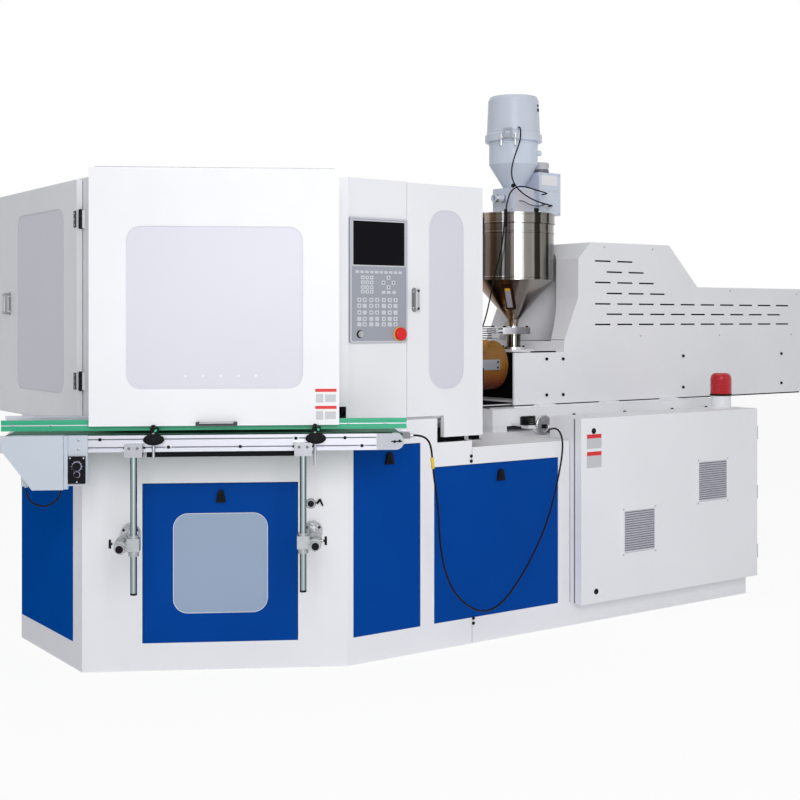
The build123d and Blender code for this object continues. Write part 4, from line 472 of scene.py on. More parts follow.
class Shape:
    """Collects solids in millimetres on one face; each call returns the shape."""

    def __init__(self):
        self.mesh = bmesh.new()

    def ring(self, outline, z):
        return [self.mesh.verts.new((a, b, z)) for a, b in outline]

    def wall(self, lower, upper):
        """Quads between two loops of equal point count."""
        for index in range(len(lower)):
            after = (index + 1) % len(lower)
            self.mesh.faces.new((lower[index], lower[after], upper[after], upper[index]))

    def stack(self, rings):
        """Closed outlines of equal point count, one above the other, with both ends closed."""
        loops = [self.ring(outline, z) for outline, z in rings]
        for lower, upper in zip(loops, loops[1:]):
            self.wall(lower, upper)
        self.mesh.faces.new(loops[-1])
        self.mesh.faces.new(loops[0][::-1])
        return self

    def prism(self, outline, low, high):
        """A prism with a counterclockwise outline."""
        return self.stack([(outline, low), (outline, high)])

    def plate(self, a0, a1, b0, b1, low, high, radius=0.0, chamfer=0.0):
        """A plate with round corners and, if asked, a sloped outer edge."""
        if chamfer <= 0:
            return self.prism(rounded(a0, a1, b0, b1, radius), low, high)
        steps = [(low, 0.0), (high - chamfer, 0.0), (high, chamfer)]
        return self.stack([(rounded(a0 + i, a1 - i, b0 + i, b1 - i, max(radius - i, 0.05)), z) for z, i in steps])

    def rim(self, outer, inner, low, high):
        """A flat ring between two outlines of equal point count."""
        out_low, out_high, in_low, in_high = (self.ring(outline, z) for outline in (outer, inner) for z in (low, high))
        for index in range(len(outer)):
            after = (index + 1) % len(outer)
            for first, second, i, j in ((out_low, out_high, index, after), (in_low, in_high, after, index),
                                        (out_high, in_high, index, after), (out_low, in_low, after, index)):
                self.mesh.faces.new((first[i], first[j], second[j], second[i]))
        return self

    def frame(self, a0, a1, b0, b1, width, low, high, outer, inner, steps=8):
        """A flat frame of even width with the outer and inner corners' radii."""
        return self.rim(rounded(a0, a1, b0, b1, outer, steps),
                        rounded(a0 + width, a1 - width, b0 + width, b1 - width, inner, steps), low, high)

    def turned(self, a, b, profile, sides=40, close=True):
        """A turned piece about the outward direction; profile is (radius, height) from the foot up."""
        loops = [self.ring(oval(a, b, radius, radius, sides) if radius > 1e-6 else [(a, b)], height)
                 for radius, height in profile]
        for lower, upper in zip(loops, loops[1:]):
            for index in range(sides):
                after = (index + 1) % sides
                quad = [lower[index % len(lower)], lower[after % len(lower)],
                        upper[after % len(upper)], upper[index % len(upper)]]
                unique = list(dict.fromkeys(quad))
                if len(unique) > 2:
                    self.mesh.faces.new(unique)
        if close and len(loops[0]) > 1:
            self.mesh.faces.new(loops[0][::-1])
        if close and len(loops[-1]) > 1:
            self.mesh.faces.new(loops[-1])
        return self

    def disc(self, a, b, low, high, radius, sides=32, chamfer=0.0):
        """A round boss, with a sloped outer edge if asked."""
        profile = [(radius, low), (radius, high - chamfer)]
        return self.turned(a, b, profile + ([(radius - chamfer, high)] if chamfer > 0 else []), sides)

    def bar(self, start, end, radius, sides=24, cap=0.0):
        """A straight round bar between two points, its ends rounded over if asked."""
        run = Vector(end) - Vector(start)
        steps = [(radius, 0.0), (radius, run.length)]
        if cap > 0:
            steps = [(radius - cap, 0.0), (radius, cap), (radius, run.length - cap), (radius - cap, run.length)]
        turn = run.normalized().to_track_quat("Z", "Y").to_matrix().to_4x4()
        return self.take(Shape().turned(0, 0, steps, sides), Matrix.Translation(Vector(start)) @ turn)

    def take(self, other, place):
        """Adds another shape, moved by a matrix."""
        other.mesh.transform(place)
        copy = bpy.data.meshes.new("part")
        other.mesh.to_mesh(copy)
        self.mesh.from_mesh(copy)
        bpy.data.meshes.remove(copy)
        other.mesh.free()
        return self

    def moved(self, place):
        self.mesh.transform(place)
        return self


SHARP = math.radians(35.0)


def settle(name, mesh, body, slot):
    """Smooths a mesh up to its sharp edges and sets it on its body."""
    mesh.shade_smooth()
    mesh.set_sharp_from_angle(angle=SHARP)
    made = add(name, mesh)
    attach(made, body)


def look_of(look):
    """The slot and the paint of a look: a slot's name alone, or with a paint of its own."""
    return look if isinstance(look, tuple) else (look, paints[look])


def finish(name, shape, where, look, bevel=0.0):
    """Turns a shape into a piece of the machine; where is its face and body."""
    face, body = where
    slot, paint = look_of(look)
    bmesh.ops.remove_doubles(shape.mesh, verts=shape.mesh.verts, dist=0.001)
    bmesh.ops.recalc_face_normals(shape.mesh, faces=shape.mesh.faces)
    if bevel > 0:
        sharp = [edge for edge in shape.mesh.edges if edge.is_manifold and edge.calc_face_angle() > 0.7]
        bmesh.ops.bevel(shape.mesh, geom=sharp, offset=bevel, segments=2, profile=0.5, affect="EDGES",
                        clamp_overlap=True)
    shape.mesh.transform(face)
    mesh = bpy.data.meshes.new(name)
    shape.mesh.to_mesh(mesh)
    shape.mesh.free()
    mesh.materials.append(paint)
    settle(name, mesh, body, slot)


def plates(name, where, look, *boxes):
    """A piece made of plates; each box is what Shape.plate takes."""
    shape = Shape()
    for box in boxes:
        shape.plate(*box)
    finish(name, shape, where, look)


def copier():
    """Geometry nodes that set one unit on every point of a mesh."""
    tree = bpy.data.node_groups.new("unit_on_points", "GeometryNodeTree")
    for name, way, kind in (("Points", "INPUT", "Geometry"), ("Unit", "INPUT", "Object"),
                            ("Finish", "INPUT", "Material"), ("Geometry", "OUTPUT", "Geometry")):
        tree.interface.new_socket(name, in_out=way, socket_type="NodeSocket" + kind)
    enter, leave, unit, place, real, paint = (tree.nodes.new(kind) for kind in (
        "NodeGroupInput", "NodeGroupOutput", "GeometryNodeObjectInfo", "GeometryNodeInstanceOnPoints",
        "GeometryNodeRealizeInstances", "GeometryNodeSetMaterial"))
    for start, output, end, entry in ((enter, "Unit", unit, "Object"), (enter, "Points", place, "Points"),
                                      (unit, "Geometry", place, "Instance"), (place, "Instances", real, "Geometry"),
                                      (real, "Geometry", paint, "Geometry"), (enter, "Finish", paint, "Material"),
                                      (paint, "Geometry", leave, "Geometry")):
        tree.links.new(start.outputs[output], end.inputs[entry])
    return tree


COPIER = copier()


def repeated(name, unit, places, out, where, look):
    """One unit shape set at many spots of a face, all equally far out, as a single piece."""
    face, body = where
    slot, paint = look_of(look)
    bmesh.ops.recalc_face_normals(unit.mesh, faces=unit.mesh.faces)
    source_mesh = bpy.data.meshes.new(name + "_unit")
    unit.mesh.to_mesh(source_mesh)
    unit.mesh.free()
    source = add(name + "_unit", source_mesh)
    spots = bpy.data.meshes.new(name + "_spots")
    spots.from_pydata([(a, b, out) for a, b in places], [], [])
    carrier = add(name + "_spots", spots)
    modifier = carrier.modifiers.new("copies", "NODES")
    modifier.node_group = COPIER
    values = {"Unit": source, "Finish": paint}
    for item in COPIER.interface.items_tree:
        if item.in_out == "INPUT" and item.name in values:
            modifier[item.identifier] = values[item.name]
    mesh = mesh_of(carrier)
    bpy.data.objects.remove(carrier)
    bpy.data.objects.remove(source)
    mesh.transform(face)
    if not mesh.materials:
        mesh.materials.append(paint)
    settle(name, mesh, body, slot)


# Further finishes
seal_grey = coated("seal_grey", (0.72, 0.72, 0.77), 0.5, grain=500.0)
seal_black = coated("seal_black", (0.008, 0.008, 0.009), 0.7, grain=900.0, depth=0.3, shine=0.05)
dark_grip = coated("dark_grip", (0.05, 0.052, 0.058), 0.35, grain=700.0, shine=0.2)
chrome = metal("chrome", (0.52, 0.52, 0.55), 0.12, stretch=EVEN, depth=0.02, drift=0.02)
zinc = metal("zinc_plate", (0.36, 0.37, 0.39), 0.32, stretch=EVEN, drift=0.08)
black_oxide = coated("black_oxide", (0.012, 0.012, 0.014), 0.35, grain=700.0, metal=0.6, shine=0.1)
key_white = coated("key_white", (0.62, 0.64, 0.68), 0.5, grain=800.0)
key_dark = coated("key_dark", (0.16, 0.17, 0.20), 0.5, grain=800.0)
key_mark = coated("key_mark", (0.01, 0.01, 0.012), 0.5, grain=800.0)
label_white = coated("label_white", (0.86, 0.86, 0.87), 0.5, grain=600.0, depth=0.03)
label_grey = coated("label_grey", (0.58, 0.58, 0.61), 0.5, grain=600.0, depth=0.03)
label_red = coated("label_red", (0.72, 0.02, 0.02), 0.45, grain=600.0, depth=0.03)
tag_yellow = coated("tag_yellow", (0.80, 0.56, 0.03), 0.4, grain=400.0, depth=0.05)
signal_yellow = coated("signal_yellow", (0.90, 0.50, 0.02), 0.35, grain=200.0, depth=0.03)
end_grey = coated("end_plate_grey", (0.50, 0.52, 0.57), 0.4, grain=500.0)
slat_shade = coated("slat_shade", (0.14, 0.15, 0.21), 0.6, grain=600.0)
groove_painted_shade = coated("groove_painted_shade", (0.20, 0.20, 0.23), 0.6, grain=600.0)
dial_mark = coated("dial_mark", (0.42, 0.43, 0.60), 0.5, grain=600.0)
# Black for painted shade in gaps, slots and the hollows inside covers
painted_shade_black = coated("painted_shade_black", (0.006, 0.006, 0.007), 0.9, grain=200.0, shine=0.03)
cast_rings = metal("turned_flange", (0.50, 0.51, 0.54), 0.25, stretch=EVEN)
seam_steel = coated("seam_plate_steel", (0.52, 0.54, 0.60), 0.35, metal=0.25)
ring_grey = metal("coupling_ring", (0.46, 0.46, 0.48), 0.35, stretch=EVEN, drift=0.15)
fin_grey = coated("fin_grey", (0.055, 0.057, 0.062), 0.45, grain=500.0, shine=0.1)
bronze = coated("dark_bronze", (0.035, 0.012, 0.009), 0.35, grain=300.0, metal=0.4, shine=0.1)
sight_grey = coated("sight_grey", (0.42, 0.42, 0.46), 0.25, grain=200.0, depth=0.03, coat=0.3)
rim_light = coated("bezel_rim", (0.60, 0.61, 0.65), 0.32)
pull_grey = coated("pull_grey", (0.34, 0.34, 0.36), 0.30, grain=700.0, metal=0.7)
pull_plate = coated("pull_plate", (0.26, 0.26, 0.28), 0.40, grain=700.0)
# Painted reflection bands for the neck sleeve, as on the hopper
neck_steel_painted_reflections = reflection_painted_steel("neck_steel_painted_reflections", 1.0, 1.001, 0.5)

# Looks and places that come up often
BLACK = "black_plastic"
OXIDE = (BLACK, black_oxide)
SEAL = (BLACK, seal_black)
PAINTED_SHADE = (BLACK, painted_shade_black)
SHADE = (BLACK, key_dark)
SCREW = ("switch_steel", zinc)
ZINC = ("bright_steel", zinc)
CHROME = ("switch_steel", chrome)
PALE_KEY = ("bezel_grey", key_white)
PALE_RIM = ("bezel_grey", rim_light)
DOOR = (FRONT, "front_door")
BASE = (FRONT, "machine")
CONVEYOR = (FRONT, "conveyor")
MACHINE = (SIDE, "machine")
CARRIAGE = (SIDE, "carriage")
CARRIAGE_TOP = (TOP, "carriage")
CARRIAGE_END = (END, "carriage")
CABINET = (SIDE, "cabinet_door")


def cap_head(radius, height, socket=0.5):
    """A round screw head with a hexagonal socket."""
    edge = around(radius, range(0, 360, 15))
    hexagon = around(socket * radius, range(0, 360, 60))
    head = Shape().stack([(edge, 0.0), (edge, height * 0.85), ([(a * 0.88, b * 0.88) for a, b in edge], height)])
    return head.stack([(hexagon, height - 0.2), (hexagon, height + 0.15)])


def pan_head(radius, height):
    """A domed screw head."""
    return Shape().turned(0, 0, [(radius, 0), (radius, height * 0.4), (radius * 0.8, height * 0.8),
                                 (radius * 0.4, height), (0, height)], 20)


# Doors; a face's name ends in OUT where it says how far outward it lies
DOOR_OUT = 333
LEFT_OUT = 875
RIGHT_OUT = 975
HINGE_HEIGHTS = (1275, 2004)


def window_seal(name, window, where, out, deep=2.5):
    """Soft seal that runs round a window's edge; the window is its four sides and corner radius."""
    w0, w1, h0, h1, radius = window
    seal = Shape().frame(w0 + 0.3, w1 - 0.3, h0 + 0.3, h1 - 0.3, 3.2, out - deep, out + 0.6, radius - 0.3,
                         radius - 3.5, 12)
    finish(name, seal, where, ("bezel_grey", seal_grey), 0.3)


window_seal("front_window_seal", (229.0, 963.0, 1262.0, 1943.0, 60.0), DOOR, DOOR_OUT)
window_seal("left_window_seal", (-542.0, 99.0, 1210.0, 2066.0, 70.0), (LEFT, "left_door"), LEFT_OUT)
window_seal("right_window_seal", (562.0, 769.0, 1225.0, 2068.0, 90.0), (SIDE, "right_door"), RIGHT_OUT)
window_seal("panel_window_seal", (395.0, 813.0, 250.0, 694.0, 66.0), (FRONT, "front_panel"), 0, 3.0)


def upright_grip(name, a, b0, b1, where, out):
    """Polished sleeve over a door's pull with its two feet."""
    plates(name, where, ("switch_steel", pull_grey), (a - 11, a + 11, b0 - 1, b0 + 17, out, out + 35, 8, 2.5),
           (a - 11, a + 11, b1 - 17, b1 + 1, out, out + 35, 8, 2.5),
           (a - 11, a + 11, b0 - 1, b1 + 1, out + 17, out + 35, 10.5, 5))
    plates(name + "_plate", where, ("switch_steel", pull_plate),
           (a - 14, a + 14, b0 - 6, b1 + 6, out, out + 1.5, 13.5, 0.7))


upright_grip("left_door_pull", -644, 1580, 1684, (LEFT, "left_door"), LEFT_OUT)
upright_grip("right_door_pull", 476, 1593, 1694, (SIDE, "right_door"), RIGHT_OUT)
plates("front_door_pull", DOOR, (BLACK, dark_grip), (517, 533, 1108.7, 1125.5, DOOR_OUT, 368, 3, 2),
       (672, 688, 1108.7, 1125.5, DOOR_OUT, 368, 3, 2), (528, 677, 1108.7, 1125.5, 352.5, 368, 3, 2))
plates("front_door_pull_line", DOOR, PALE_RIM, (531, 674, 1119, 1124.5, 354, 368.3, 2, 1))

# Two bare stickers
plates("blank_plates", DOOR, ("white_paint", label_white), (1012, 1106, 1197, 1262, DOOR_OUT, 333.5, 3),
       (1012, 1106, 1125, 1190, DOOR_OUT, 333.5, 3))
plates("plate_fields", DOOR, ("white_paint", label_grey),
       *[box for z in (1202, 1130) for box in ((1017, 1048, z, z + 36, 333.4, 333.7, 3),
                                               (1055, 1101, z + 2, z + 34, 333.4, 333.7, 1))])
plates("plate_bands", DOOR, ("red_button", label_red), (1014, 1104, 1247, 1260, 333.4, 333.8, 1),
       (1014, 1104, 1175, 1188, 333.4, 333.8, 1))
repeated("pane_fixings", pan_head(6, 2), [(473 + 73 * index, 1316) for index in range(5)], 330.4, DOOR,
         ("frosted_sheet", label_white))


def hinge_barrels(name, x, y, radius=9.6):
    """A door's two black hinge barrels with their knuckle grooves and end caps."""
    profile = [(radius * 0.6, -44), (radius * 0.85, -42), (radius * 0.85, -40.5)]
    for low, high in ((-40.5, -14), (-13, 13), (14, 40.5)):
        profile += [(radius, low), (radius, high), (radius * 0.9, high), (radius * 0.9, high + 0.9)]
    profile += [(radius * 0.85, 42), (radius * 0.6, 44)]
    barrels = Shape()
    for z in HINGE_HEIGHTS:
        barrels.take(Shape().turned(0, 0, profile, 24), Matrix.Translation((x, y, z)))
    finish(name, barrels, (TOP, "machine"), OXIDE)


hinge_barrels("left_door_hinges", -860, -264)
hinge_barrels("right_door_hinges", 893, -961)
plates("left_hinge_leaves", (LEFT, "left_door"), OXIDE,
       *[(222, 252, z - 38, z + 38, LEFT_OUT, 877.5, 3, 0.8) for z in HINGE_HEIGHTS])
repeated("left_hinge_screws", pan_head(4, 1.8), [(237, z + dz) for z in HINGE_HEIGHTS for dz in (-26, 0, 26)], 877.5,
         (LEFT, "left_door"), SCREW)
repeated("front_door_hinge", Shape().bar((-14.5, 0, 0), (14.5, 0, 0), 3.6, 12, 0.4),
         [(111 + 30.4 * index, 2189) for index in range(33)], 303, BASE, ZINC)
for name, where, sides, low, high in (("left", (LEFT, "machine"), (-826, 252, 1091, 2179), 845.2, 847.9),
                                      ("right", MACHINE, (439, 881, 1116, 2183), 945.2, 947.9),
                                      ("front", BASE, (88, 1103, 1166, 2180), 300.2, 302.8)):
    finish(name + "_door_seal", Shape().frame(*sides, 12, low, high, 4, 3), where, SEAL)

# Painted shade in the gap under the right door
plates("door_gap_back", MACHINE, PAINTED_SHADE, (612, 795, 976.2, 1001, 945.3, 946.2), (820, 886, 976.2, 1001, 945.3, 946.2),
       (612, 668, 1001, 1042, 945.3, 946.2))
plates("door_gap_floor", (TOP, "machine"), PAINTED_SHADE, (612, 795, -973, -946, 975.1, 976.1),
       (823, 886, -973, -946, 975.1, 976.1))

# Operator panel
KEYS_OUT = 987
MARKS_OUT = 989.1
finish("bezel_rims", Shape().frame(113.5, 429.5, 1447.5, 2013.5, 7.5, KEYS_OUT, 989.2, 10, 6)
       .frame(123.5, 418.5, 1792.5, 2002.5, 5.8, KEYS_OUT, 989, 5, 1.5), MACHINE, PALE_RIM, 0.8)


def keys(name, width, height, spots, look, tall=2.2, out=KEYS_OUT):
    """Keys with sloped edges at spots of the panel."""
    unit = Shape().plate(-width / 2, width / 2, -height / 2, height / 2, 0, tall, 2.5, 0.6)
    repeated(name, unit, spots, out, MACHINE, look)


GRID = [(x, z) for z in (1641, 1614, 1584, 1555, 1530) for x in (162, 191, 227, 259, 296, 329, 361)]
NUMBERS = [(x, z) for z in (1742, 1720, 1698, 1678) for x in (181, 204.5, 229)]
ARROWS = ((322, 1743, 90), (322, 1699, -90), (294, 1720, 180), (350, 1720, 0))
keys("function_keys", 22, 19, [spot for spot in GRID if spot[0] > 280], PALE_KEY)
keys("mode_keys", 22, 19, [spot for spot in GRID if spot[0] < 280], PALE_RIM)
keys("key_marks", 9, 7, [(x, z) for x, z in GRID if (x * 7 + z * 3) % 5 < 3], SHADE, 0.35, MARKS_OUT)
keys("number_keys", 19, 17, NUMBERS, PALE_KEY)
keys("number_marks", 6, 8, NUMBERS, SHADE, 0.35, MARKS_OUT)
keys("screen_keys", 19, 12, [(151 + 26.2 * index, 1767) for index in range(10)], PALE_RIM, 1.8)
keys("arrow_keys", 20, 18, [(x, z) for x, z, _ in ARROWS], PALE_KEY)
keys("enter_keys", 20, 13, [(295, 1676), (323, 1676), (353, 1676)], PALE_KEY)
arrows = Shape()
for x, z, angle in ARROWS:
    arrows.prism(around(6, (angle, angle + 125, angle + 235), x, z), MARKS_OUT, 989.5)
finish("arrow_marks", arrows, MACHINE, (BLACK, key_mark))
finish("stop_ring", Shape().turned(384, 1486, [(15, KEYS_OUT), (32, KEYS_OUT), (32, 988.3), (30.5, 988.9),
                                               (15, 988.9)], 48), MACHINE, ("amber_paint", signal_yellow))
finish("key_ring", Shape().turned(167, 1486, [(14.3, KEYS_OUT), (18, KEYS_OUT), (18, 988.2), (16.5, 990.5),
                                              (14.3, 990.5)], 40), MACHINE, OXIDE)
finish("key_face", Shape().disc(167, 1486, 995.9, 996.6, 12, 32, 0.3), (SIDE, "key_switch"),
       ("switch_steel", pull_grey))
plates("screen_film", MACHINE, "screen_glass", (132.5, 409.5, 1801.5, 1993.5, 984, 984.4, 3))

# Guide rails, knobs and beam fittings
BEAM_OUT = 320
END_OUT = 320.9
PLATE_OUT = 340
SLOT_LOW = 1019
SLOT_HIGH = 1052
knobs, discs, clips = Shape(), Shape(), Shape()
for s in (341, 1013):
    knobs.stack([(oval(s + 3, 1053, wide, wide - 20), out)
                 for wide, out in ((39, 346), (43, 350), (43, 361), (38, 366))])
    discs.disc(s + 3, 1053, 342, 347, 14, 32, 1).disc(s + 3, 1053, 366, 369.5, 9, 32, 1.2)
    clips.plate(s - 12, s + 24, 1081, 1103, 344, 347, 3, 1).plate(s - 9, s + 9, 1103, 1113, 323, 341, 5, 1)
finish("rail_knobs", knobs, CONVEYOR, BLACK, 1.0)
finish("knob_discs", discs, CONVEYOR, OXIDE)
finish("rail_clips", clips, CONVEYOR, BLACK)
plates("front_rail_line", (FRONT, "front_guide_rail"), "aluminium_profile", (-288, 1405, 1108, 1112, 291, 292.5))
plates("rear_rail_line", CONVEYOR, "aluminium_profile", (-325, 1120, 1100, 1104, 15, 16.5))
repeated("rail_screws", pan_head(4.5, 2), [(-240 + 155 * index, 1110) for index in range(11)], 292.4,
         (FRONT, "front_guide_rail"), SCREW)
plates("cable_trough", CONVEYOR, SEAL, (312, 926, 977, 997, 296, 317, 2, 1))
plates("beam_top_strip", CONVEYOR, SEAL, (840, 1340, 1068.8, 1071, 300, 320.6), (-222, 840, 1068.8, 1071, 300, 320.6))
repeated("beam_bolts", cap_head(7, 5), [(402, SLOT_LOW), (933, SLOT_HIGH), (1212, 1018), (120, SLOT_HIGH),
                                        (700, SLOT_LOW), (1140, SLOT_HIGH)], BEAM_OUT, CONVEYOR, OXIDE)
plates("slot_nuts", CONVEYOR, ZINC, *[(s - 14, s + 14, z - 3.6, z + 3.6, 315, 319.5, 1)
                                      for s, z in ((402, SLOT_LOW), (933, SLOT_HIGH), (1212, 1018))])
repeated("end_plate_screws", pan_head(7, 3), [(1295, 1054), (1295, 1017)], END_OUT, CONVEYOR,
         ("switch_steel", rim_light))
repeated("tension_screws", cap_head(6, 4), [(1351, 1034), (1372, 1036)], END_OUT, CONVEYOR, OXIDE)
# Painted shade in the tension slot
plates("tension_slot", CONVEYOR, PAINTED_SHADE, (1336, 1384, 1032, 1037, 316, 321.1, 2.4))
nose = around(34.4, range(-90, 91, 10), 1356, 1034)
finish("end_plate_face", Shape().prism([(1275, 999.6)] + nose + [(1275, 1068.4)], 320.05, END_OUT), CONVEYOR,
       ("aluminium_profile", end_grey))
plates("sensor_shell", CONVEYOR, ("bright_steel", pull_plate), (1403.4, 1438.6, 1027.4, 1052.6, 60, 120.8, 3, 1))
# Painted shade on the floors of the beam's two slots
plates("beam_groove_floors", CONVEYOR, (BLACK, groove_painted_shade),
       *[(-20, 1272, z - 1.5, z + 3.2, 314.2, 315.2) for z in (1017, 1051)])
tips = Shape()
for post in POSTS:
    for s in (post - 40, post + 40):
        tips.plate(s - 5, s + 5, 1012, 1022, 315, 324, 3, 1)
    tips.plate(post + 30, post + 40, 988, 996, 325, 345, 2, 1)
finish("clamp_nut_ends", tips, CONVEYOR, OXIDE)
dials = Shape().turned(29, 944, [(17.6, PLATE_OUT), (20.6, PLATE_OUT), (20.6, 340.5), (17.6, 340.5)], 48)
dials.turned(29, 910, [(11.4, PLATE_OUT), (13.6, PLATE_OUT), (13.6, 340.5), (11.4, 340.5)], 40)
finish("dial_rings", dials, CONVEYOR, ("bezel_grey", dial_mark))
scale = Shape()
for turn in range(-60, 241, 30):
    scale.take(Shape().plate(21.8, 25.6, -0.5, 0.5, PLATE_OUT, 340.4),
               Matrix.Translation((29, 944, 0)) @ Matrix.Rotation(math.radians(turn), 4, "Z"))
finish("dial_scale", scale, CONVEYOR, ("bezel_grey", dial_mark))
repeated("speed_plate_screws", pan_head(3.4, 1.6), [(1, 978), (56, 978), (29, 879)], PLATE_OUT, CONVEYOR,
         ("switch_steel", rim_light))
repeated("drive_cover_screws", pan_head(5.5, 2.0), [(34, 1051), (34, 1014)], 328, CONVEYOR, SCREW)
LOCK = (1004, 730)
finish("base_lock_ring", Shape().turned(*LOCK, [(13, 0), (23, 0), (23, 3), (20, 6), (13, 6)], 40), BASE, SCREW)
lever = Shape().turned(*LOCK, [(7, 2), (14.5, 2), (14.5, 9), (12, 10), (7, 10)], 32)
lever.prism([(1026, 733), (1034, 727), (1044, 739), (1053, 718), (1060, 722), (1048, 751), (1040, 751)], 0, 8)
finish("base_lock_lever", lever, BASE, OXIDE)

# Wall brackets and foot of each height post
FLANGE_Z = 609
for label, post, flange, sign in (("left", POSTS[0], 210, -1), ("right", POSTS[1], 1012, 1)):
    repeated(label + "_block_screws", cap_head(6, 2, 0.55), [(post - 17, 1018), (post + 17, 1018)], 363, CONVEYOR,
             SHADE)
    x = CORNER[0] + OUT * post - 0.5 * POST_OUT
    y = CORNER[1] - 0.5 * post - OUT * POST_OUT
    foot = Shape().turned(0, 0, [(9, -4), (14.6, -2), (14.6, 6), (13.9, 6)], 32)
    finish(label + "_post_cap", foot.moved(Matrix.Translation((x, y, 410))), (TOP, "conveyor"), OXIDE)
    repeated(label + "_flange_bolts", cap_head(6, 5), around(33, (30, 150, 270), flange, FLANGE_Z), 12, BASE, OXIDE)
    finish(label + "_stub_plug", Shape().disc(flange, FLANGE_Z, 411, 417, 16, 32, 2), BASE, BLACK)
    rings = [(44.5, 12), (44.5, 14), (39, 14), (37, 12.6), (33, 12.6), (31, 14.5), (26, 14.5), (24, 12.4), (21, 12.4)]
    finish(label + "_flange_rings", Shape().turned(flange, FLANGE_Z, rings, 48), BASE, ("bright_steel", cast_rings))
    screw = flange + sign * 46
    tee = Shape().bar((screw, 602.6, 343), (screw, 639.4, 343), 5.5, 16, 1.2)
    tee.bar((screw - sign * 10, 621, 343), (screw, 621, 343), 5.6, 16)
    finish(label + "_tee_grip", tee.bar((flange, 583, 352), (flange, 578, 352), 4.5, 16), BASE, OXIDE)

# Base: bolts, seams, latch faces
repeated("deck_bolts", cap_head(8, 5), [(813, 898), (813, 874), (826, 120), (826, 96)], RIGHT_OUT, MACHINE, OXIDE)
plates("base_seam", MACHINE, SEAL, (818.2, 819.8, 8, 122, 974.4, 975.15), (818.2, 819.8, 862, 938, 974.4, 975.15))
for name, face, a, b, out in (("front", FRONT, 605, 769, 14.3), ("narrow", SIDE, 332, 918, 989.3),
                              ("wide", SIDE, 993, 798, 989.3)):
    where = (face, name + "_panel_latch")
    wing = Shape().stack([(oval(a, b - 6, 14, 17), out), (oval(a, b - 6, 12, 15), out + 2.5)])
    finish(name + "_latch_wing", wing.plate(a - 3, a + 3, b - 20, b + 8, out + 1, out + 6, 2.5, 1), where, BLACK, 0.4)
    finish(name + "_latch_pin", Shape().disc(a, b + 12, out, out + 1.6, 6, 24, 0.5), where, OXIDE)

# Injection unit
HOUSING_OUT = 351
housing_bolts = [(1851, 1330), (1976, 1328), (1851, 1127), (1976, 1125), (2968, 1138), (2968, 1330), (3900, 1138),
                 (3900, 1330)]
repeated("housing_bolts", cap_head(9, 7), housing_bolts, HOUSING_OUT, CARRIAGE, OXIDE)
repeated("housing_bolts_rear", cap_head(9, 7), [(-x, z) for x, z in housing_bolts], HOUSING_OUT,
         (face_matrix((0, 0, 0), (-1, 0, 0), (0, 0, 1)), "carriage"), OXIDE)
plates("housing_top_seal", CARRIAGE, SEAL, (1746, 1922, 1367.2, 1375, 334, 352, 1, 0.5))
# Black strip of painted shade in the gap under the housing
plates("housing_wiper", CARRIAGE, SEAL, (1615, 4090, 1069, 1076.5, 320, 347))
plates("gap_bar", CARRIAGE, "white_paint", (1760, 1900, 1064.5, 1074, 352, 362, 1, 0.6))
hood_screws = [(2600, 1455), (3300, 1455), (4000, 1455), (4060, 1720), (3400, 1735), (2700, 1975), (2300, 1975)]
repeated("hood_screws", pan_head(5.5, 2.5), hood_screws, HOUSING_OUT, CARRIAGE, SCREW)
hood = [(2150, 1436), (4080, 1436), (4080, 1740), (3094, 1740), (2838, 1988), (2200, 1988), (2118, 1900), (2116, 1680)]
# Painted shade inside the hood, on both sides
finish("hood_lining", Shape().prism(hood, 337, 341), CARRIAGE, PAINTED_SHADE)
finish("hood_lining_rear", Shape().prism(hood, -341, -337), CARRIAGE, PAINTED_SHADE)
plates("cover_seam_plate", CARRIAGE, ("switch_steel", seam_steel), (1190, 1680, 1266, 1325, 147, 149.5, 2, 0.8))
repeated("cover_catches", cap_head(6, 4), ((1662, 1280), (1662, 1311), (1540, 1295), (1400, 1295)), 149.5, CARRIAGE,
         OXIDE)
bands = Shape().turned(0, 1290, [(142.6, 1380), (145, 1380), (145, 1400), (142.6, 1400)], 72, close=False)
finish("cover_bands", bands, CARRIAGE_END, "amber_paint")
plates("housing_end_cover", CARRIAGE, "white_paint", (1614, 1792, 1079, 1365.5, 351.1, 352.6, 1, 0.6))
# Painted shade inside the housing: its sides, pan and feed end
plates("side_linings", CARRIAGE, PAINTED_SHADE, (910, 1610, 1084, 1362, -294.8, -293.4), (1618, 1797, 1095, 1364, 336.4, 338.6),
       (1618, 1797, 1095, 1364, -338.6, -336.4))
plates("pan_lining", CARRIAGE_TOP, PAINTED_SHADE, (908, 1697, -293, 298, 1082.2, 1083.4))
plates("feed_lining", CARRIAGE_END, PAINTED_SHADE, (-336, 336, 1095, 1364, 1797.4, 1799.6))
plates("fin_sleeves", CARRIAGE, (BLACK, fin_grey),
       *[(1248, 1667, z - 0.4, z + 5.4, -90.6, 90.6) for z in (1444.5 + 13 * index for index in range(6))])
plates("slideway_face", MACHINE, ZINC, (1424.6, 1600, 1063.4, 1071.2, 332.8, 367.2))
plugs = Shape()
for x in (1432, 1457, 1482):
    for z in (994, 1005, 1016, 1027):
        plugs.plate(x, x + 22, z, z + 9.4, 610, 655, 2, 1)
    plugs.plate(x + 5, x + 17, 1036, 1041, 616, 650, 1, 0.5)
finish("coupling_plugs", plugs, MACHINE, OXIDE)
repeated("bed_bolts", cap_head(11, 8), [(x, 1010) for x in (1700, 2000, 2400, 2800, 3100)], 415, MACHINE, OXIDE)
SOCKET = (1555, 993)
finish("coupling_face", Shape().turned(*SOCKET, [(33, 655), (52, 655), (53, 658), (53, 663), (49, 667), (36, 667),
                                                 (33, 664)], 48), MACHINE, ("bright_steel", ring_grey))
